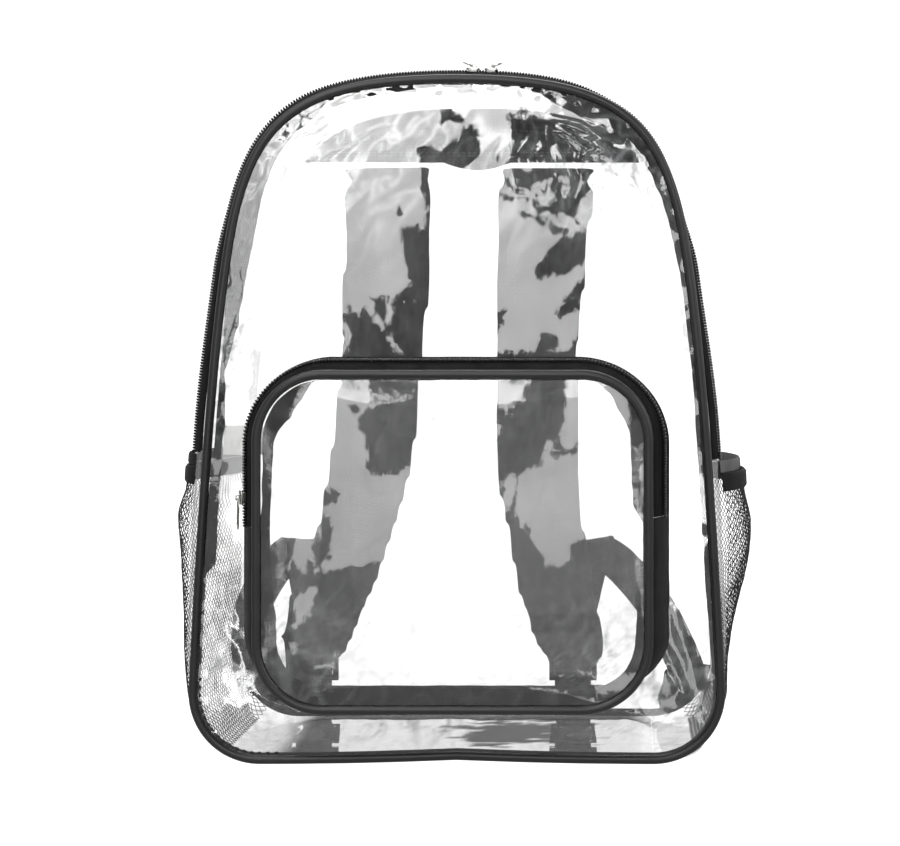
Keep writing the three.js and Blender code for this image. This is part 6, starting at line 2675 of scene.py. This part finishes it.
    def lights(self) -> None:
        """Four soft lights: overhead left, right, high behind, and before the bag for the cloth alone."""
        rows = (
            ("soft_key", (-0.7, -1.0, 1.7), 1.3, 22.0),
            ("soft_fill", (1.5, -0.6, 0.9), 1.0, 10.0),
            ("soft_rear", (0.2, 1.2, 1.6), 1.2, 14.0),
            ("soft_front", (-0.1, -1.9, 0.75), 0.8, 12.0),
        )
        cloth = bpy.data.collections.new("not_mirrored_by_film")
        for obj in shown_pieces():
            if "_sheet" not in obj.name:
                cloth.objects.link(obj)
        for name, at, size, power in rows:
            data = bpy.data.lights.new(name, "AREA")
            data.energy, data.size = power, size
            lamp = bpy.data.objects.new(name, data)
            lamp.location = at
            lamp.rotation_euler = (Vector((0, 0, 0.2)) - Vector(at)).to_track_quat("-Z", "Y").to_euler()
            lamp.visible_camera = False
            bpy.context.scene.collection.objects.link(lamp)
            if name == "soft_front":
                lamp.light_linking.receiver_collection = cloth

    def camera(self) -> None:
        """Sets the camera level before the bag, a little to its right, with the frame shifted."""
        data = bpy.data.cameras.new("camera")
        data.lens, data.sensor_width = self.lens, self.sensor
        data.shift_x, data.shift_y = self.shift
        data.clip_end = 100
        camera = bpy.data.objects.new("camera", data)
        camera.location = self.camera_at
        camera.rotation_euler = (math.radians(90), 0, 0)
        bpy.context.scene.collection.objects.link(camera)
        bpy.context.scene.camera = camera

    def build(self, pocket: FrontPocket) -> None:
        """Builds the studio round the bag with this pocket."""
        scene = bpy.context.scene
        scene.view_settings.view_transform = "Standard"
        scene.cycles.transparent_max_bounces = 32
        self.floor()
        self.surround()
        front, face = bpy.data.objects["front_sheet"], bpy.data.objects["pocket_sheet"]
        body = lambda x, z: BAG.front_y - 0.5 - BAG.front_swell(x, z)
        cover = lambda x, z: pocket.y - 0.5 - pocket.swell(x, z)
        self.card("card_for_front", front, body, (196, 70, 724, 770), FRONT_TRACINGS, 301.0)
        self.card("card_for_pocket", face, cover, (230, 330, 684, 740), POCKET_TRACINGS, 311.0)
        self.lights()
        self.camera()


# The upper part of the front: the band and the tops of the straps.
UPPER = Tracing(
    corner=(300, 80),
    zoom=4.9,
    dark=(
        ((690, 132), (770, 140), (820, 205), (760, 200), (715, 215), (700, 250), (690, 215)),
        (
            (835, 205), (880, 250), (890, 310), (885, 360), (845, 420), (760, 450), (690, 470), (690, 600),
            (685, 800), (668, 1090), (425, 1090), (470, 1060), (525, 1000), (532, 920), (512, 860),
            (495, 790), (480, 740), (515, 710), (555, 718), (585, 712), (600, 748), (615, 735), (622, 650),
            (605, 560), (585, 480), (570, 400), (572, 355), (690, 345), (730, 315), (745, 288), (765, 308),
            (800, 250), (822, 215),
        ),
        (
            (990, 210), (1010, 150), (1100, 140), (1200, 145), (1290, 170), (1400, 200), (1600, 260),
            (1600, 430), (1475, 430), (1470, 470), (1450, 540), (1420, 600), (1380, 640), (1335, 700),
            (1435, 728), (1435, 738), (1300, 695), (1200, 665), (1130, 640), (1130, 602), (1180, 565),
            (1240, 545), (1252, 505), (1150, 510), (1120, 540), (1080, 555), (1060, 500), (1000, 440),
            (970, 410), (1050, 390), (980, 370), (1010, 310), (975, 285), (1005, 250),
        ),
        (
            (1432, 742), (1432, 862), (1360, 912), (1290, 968), (1240, 942), (1160, 972), (1143, 940),
            (1180, 860), (1250, 788), (1340, 758),
        ),
        ((1425, 915), (1412, 1090), (1298, 1090), (1350, 1020)),
        ((1060, 650), (1140, 662), (1230, 700), (1312, 745), (1295, 758), (1200, 722), (1100, 672)),
        ((960, 578), (1050, 598), (1135, 600), (1135, 609), (1040, 609), (960, 592)),
        ((965, 498), (1010, 522), (1070, 548), (1108, 544), (1070, 560), (1010, 542), (965, 515)),
        ((478, 610), (492, 612), (492, 660), (478, 655)),
        ((455, 262), (470, 240), (460, 262), (445, 285), (425, 290)),
    ),
    bright=(
        ((1080, 270), (1130, 262), (1135, 290), (1110, 325), (1085, 322), (1100, 295)),
        ((985, 262), (1025, 262), (1030, 300), (990, 298)),
        ((1290, 305), (1308, 305), (1305, 370), (1285, 368)),
        ((1195, 230), (1218, 240), (1208, 262), (1190, 252)),
        ((1140, 395), (1148, 425), (1080, 455), (1040, 470), (1075, 430)),
        ((1200, 400), (1180, 425), (1165, 418), (1185, 398)),
        ((1272, 440), (1298, 445), (1300, 485), (1275, 480)),
        ((1345, 482), (1352, 520), (1322, 575), (1300, 545), (1325, 510)),
        ((1185, 570), (1210, 590), (1240, 605), (1215, 622), (1172, 612)),
        ((1360, 320), (1390, 345), (1378, 385), (1345, 378), (1350, 345)),
        ((1405, 345), (1450, 355), (1445, 390), (1410, 385)),
        ((1455, 300), (1500, 290), (1480, 325), (1455, 325)),
        ((1520, 345), (1560, 350), (1550, 385), (1520, 380)),
        ((650, 445), (672, 455), (690, 530), (690, 570), (662, 510)),
    ),
)
# The straps between the band and the pocket.
MIDDLE = Tracing(
    corner=(300, 300),
    zoom=4.9,
    dark=(
        (
            (240, 30), (215, 90), (230, 130), (250, 160), (275, 165), (235, 220), (240, 290), (480, 290),
            (440, 200), (400, 150), (330, 70), (310, 50), (265, 75), (250, 60),
        ),
        ((345, -10), (370, 80), (400, 130), (440, 200), (480, 290), (700, 290), (700, -10)),
        ((188, 130), (242, 170), (200, 240), (175, 262), (175, 180)),
        ((935, 60), (985, 20), (1000, 40), (985, 110), (938, 192), (925, 130)),
        ((1325, -10), (1405, -10), (1400, 10), (1300, 96), (1252, 90)),
        ((1200, 178), (1262, 178), (1262, 222), (1200, 275), (1145, 275)),
        ((1400, 130), (1400, 280), (1318, 280), (1340, 190)),
    ),
    bright=(
        ((412, -10), (448, -10), (445, 60), (432, 135), (402, 120), (408, 60)),
        ((400, 145), (425, 150), (450, 210), (482, 290), (464, 290), (432, 220), (405, 175)),
    ),
)
# The seams at the sides, which mirror the dark room on the right and lower down.
SEAMS = Tracing(
    corner=(0, 0),
    zoom=1.0,
    dark=(
        (
            (536, 78), (540, 90), (557, 104), (575, 115), (606, 118), (628, 140), (648, 166), (662, 200),
            (684, 290), (696, 420), (704, 560), (706, 720), (760, 720), (760, 60),
        ),
        ((196, 374), (224, 374), (222, 470), (216, 580), (196, 580)),
        (
            (285.6, 121), (294, 116), (311, 109), (322, 102), (320, 110), (309, 115), (296.5, 120.5),
            (294, 124), (284, 123.5),
        ),
        ((271, 137), (289, 133.8), (284.5, 141.5), (275, 139.5)),
        (
            (233, 260), (238.5, 278.5), (242, 288), (248, 294), (244.5, 310), (239.6, 300), (233.6, 283.5),
            (230.6, 271),
        ),
        ((227.5, 306), (231, 320), (241, 322), (237, 337), (231, 356), (225, 374), (226, 351), (227.5, 334)),
        ((254, 352), (660, 352), (660, 700), (254, 700)),
        ((196, 712), (724, 712), (724, 772), (196, 772)),
        ((216, 568), (246, 560), (246, 612), (236, 622), (222, 630), (214, 616)),
    ),
    bright=(
        ((205, 584), (209, 586), (208, 644), (203, 640)),
        ((226, 300), (229, 300), (224, 350), (212, 380), (208, 380), (220, 345)),
    ),
    glare=(
        ((222, 628), (248, 608), (250, 700), (262, 716), (250, 726), (232, 706), (222, 690), (218, 664)),
        ((204, 694), (222, 694), (240, 716), (300, 722), (296, 748), (258, 752), (228, 742), (208, 716)),
        ((228, 478), (246, 478), (246, 540), (238, 548), (228, 520)),
        ((606, 700), (640, 722), (668, 712), (696, 722), (704, 742), (672, 752), (600, 752), (612, 728)),
        ((676, 470), (704, 470), (708, 560), (694, 588), (684, 588), (674, 560)),
        ((366, 742), (480, 742), (480, 752), (366, 752)),
    ),
)
FRONT_TRACINGS = (UPPER, MIDDLE, SEAMS)
# The straps behind the pocket, upper part.
POCKET_UPPER = Tracing(
    corner=(300, 300),
    zoom=4.9,
    dark=(
        (
            (185, 385), (332, 385), (342, 430), (360, 445), (380, 448), (396, 414), (412, 432), (432, 450),
            (500, 450), (574, 452), (576, 484), (440, 498), (322, 520), (290, 560), (283, 610), (310, 680),
            (335, 730), (335, 790), (325, 830), (350, 878), (360, 860), (420, 852), (500, 842), (562, 810),
            (660, 600), (660, 200), (332, 200), (332, 370), (185, 370),
        ),
        (
            (1120, 385), (1120, 200), (1330, 200), (1312, 372), (1290, 470), (1292, 560), (1275, 640),
            (1272, 722), (1240, 732), (1225, 660), (1205, 700), (1190, 760), (1160, 812), (1110, 822),
            (1085, 880), (1062, 932), (1045, 920), (1060, 862), (1030, 860), (1008, 900), (1002, 1000),
            (968, 1100), (900, 1100), (900, 500), (950, 500), (975, 515), (1000, 528), (1022, 572),
            (1050, 510), (1082, 478), (1122, 440),
        ),
        ((1205, 735), (1270, 728), (1385, 708), (1385, 725), (1340, 762), (1240, 772)),
        ((92, 925), (180, 935), (202, 950), (170, 985), (112, 1000), (80, 1085), (60, 1085)),
        ((242, 505), (280, 505), (282, 540), (258, 552), (242, 530)),
        ((1040, 380), (1112, 392), (1122, 420), (1110, 450), (1100, 420), (1045, 412)),
    ),
    bright=(
        ((965, 425), (1012, 425), (1010, 470), (988, 482), (970, 450)),
        ((940, 600), (985, 600), (985, 650), (940, 690)),
    ),
)
# The straps behind the pocket, lower left.
POCKET_LEFT = Tracing(
    corner=(180, 440),
    zoom=4.61,
    dark=(
        (
            (500, 560), (560, 620), (640, 602), (750, 590), (860, 566), (985, 545), (1110, 545),
            (1110, 1140), (420, 1140), (420, 700), (495, 600),
        ),
        ((648, 225), (722, 228), (752, 240), (712, 290), (640, 300)),
        ((672, 330), (712, 400), (692, 540), (642, 592), (588, 606), (600, 520), (640, 420)),
        ((300, -500), (700, -500), (560, -240), (440, -20), (428, 200), (412, 380), (412, 700), (300, 700)),
        ((405, 470), (470, 440), (515, 425), (510, 520), (470, 600), (405, 670)),
        ((300, 620), (440, 620), (455, 800), (480, 1000), (500, 1300), (300, 1300)),
        ((480, 1130), (1200, 1130), (1200, 1320), (480, 1320)),
    ),
    bright=(
        ((498, 722), (560, 712), (628, 658), (632, 720), (590, 792), (520, 862), (478, 850), (520, 800)),
        ((478, 965), (542, 948), (492, 1002)),
        ((626, 1038), (752, 1008), (705, 1050), (640, 1062)),
        ((604, 560), (640, 400), (655, 380), (650, 440), (618, 560)),
    ),
)
# The straps behind the pocket, lower right.
POCKET_RIGHT = Tracing(
    corner=(480, 440),
    zoom=4.668,
    dark=(
        (
            (30, 60), (110, 60), (165, 150), (165, 160), (195, 200), (165, 250), (165, 330), (200, 410),
            (260, 500), (320, 582), (372, 597), (422, 552), (432, 480), (497, 440), (900, 440), (900, 1100),
            (10, 1100),
        ),
        (
            (620, -420), (690, -240), (712, 0), (722, 62), (742, 215), (748, 300), (766, 340), (900, 340),
            (900, -420),
        ),
        ((-20, 1100), (545, 1095), (540, 1320), (-20, 1320)),
        ((590, 1090), (620, 1092), (605, 1112)),
        ((540, 1218), (760, 1130), (800, 1030), (920, 1030), (920, 1320), (540, 1320)),
        ((228, 405), (243, 408), (242, 436), (228, 432)),
    ),
    bright=(
        ((115, 180), (158, 158), (170, 210), (165, 255), (112, 355), (88, 352)),
        ((722, 62), (768, 12), (768, 120), (742, 215), (726, 120)),
    ),
)
POCKET_TRACINGS = (POCKET_UPPER, POCKET_LEFT, POCKET_RIGHT)


def main() -> None:
    """Builds the bag piece by piece, then the studio."""
    logging.basicConfig(level=logging.INFO, format="%(name)s %(message)s")
    Shell().build()
    Edges().build()
    MainZip().build()
    pocket = FrontPocket()
    pocket.build()
    BackTop().build()
    Harness("left", LEFT_ROWS, -127, -14, -0.7025, 20).build()
    Harness("right", RIGHT_ROWS, 82, 33, 0.41, 12).build()
    SidePocket("left", 170, 5.5, BAG.zip_end_left, 1.7).build()
    SidePocket("right", 165.5, 18.5, BAG.zip_end_right, 0.14).build()
    CareLabel().build()
    Studio().build(pocket)


if __name__ == "__main__":
    main()
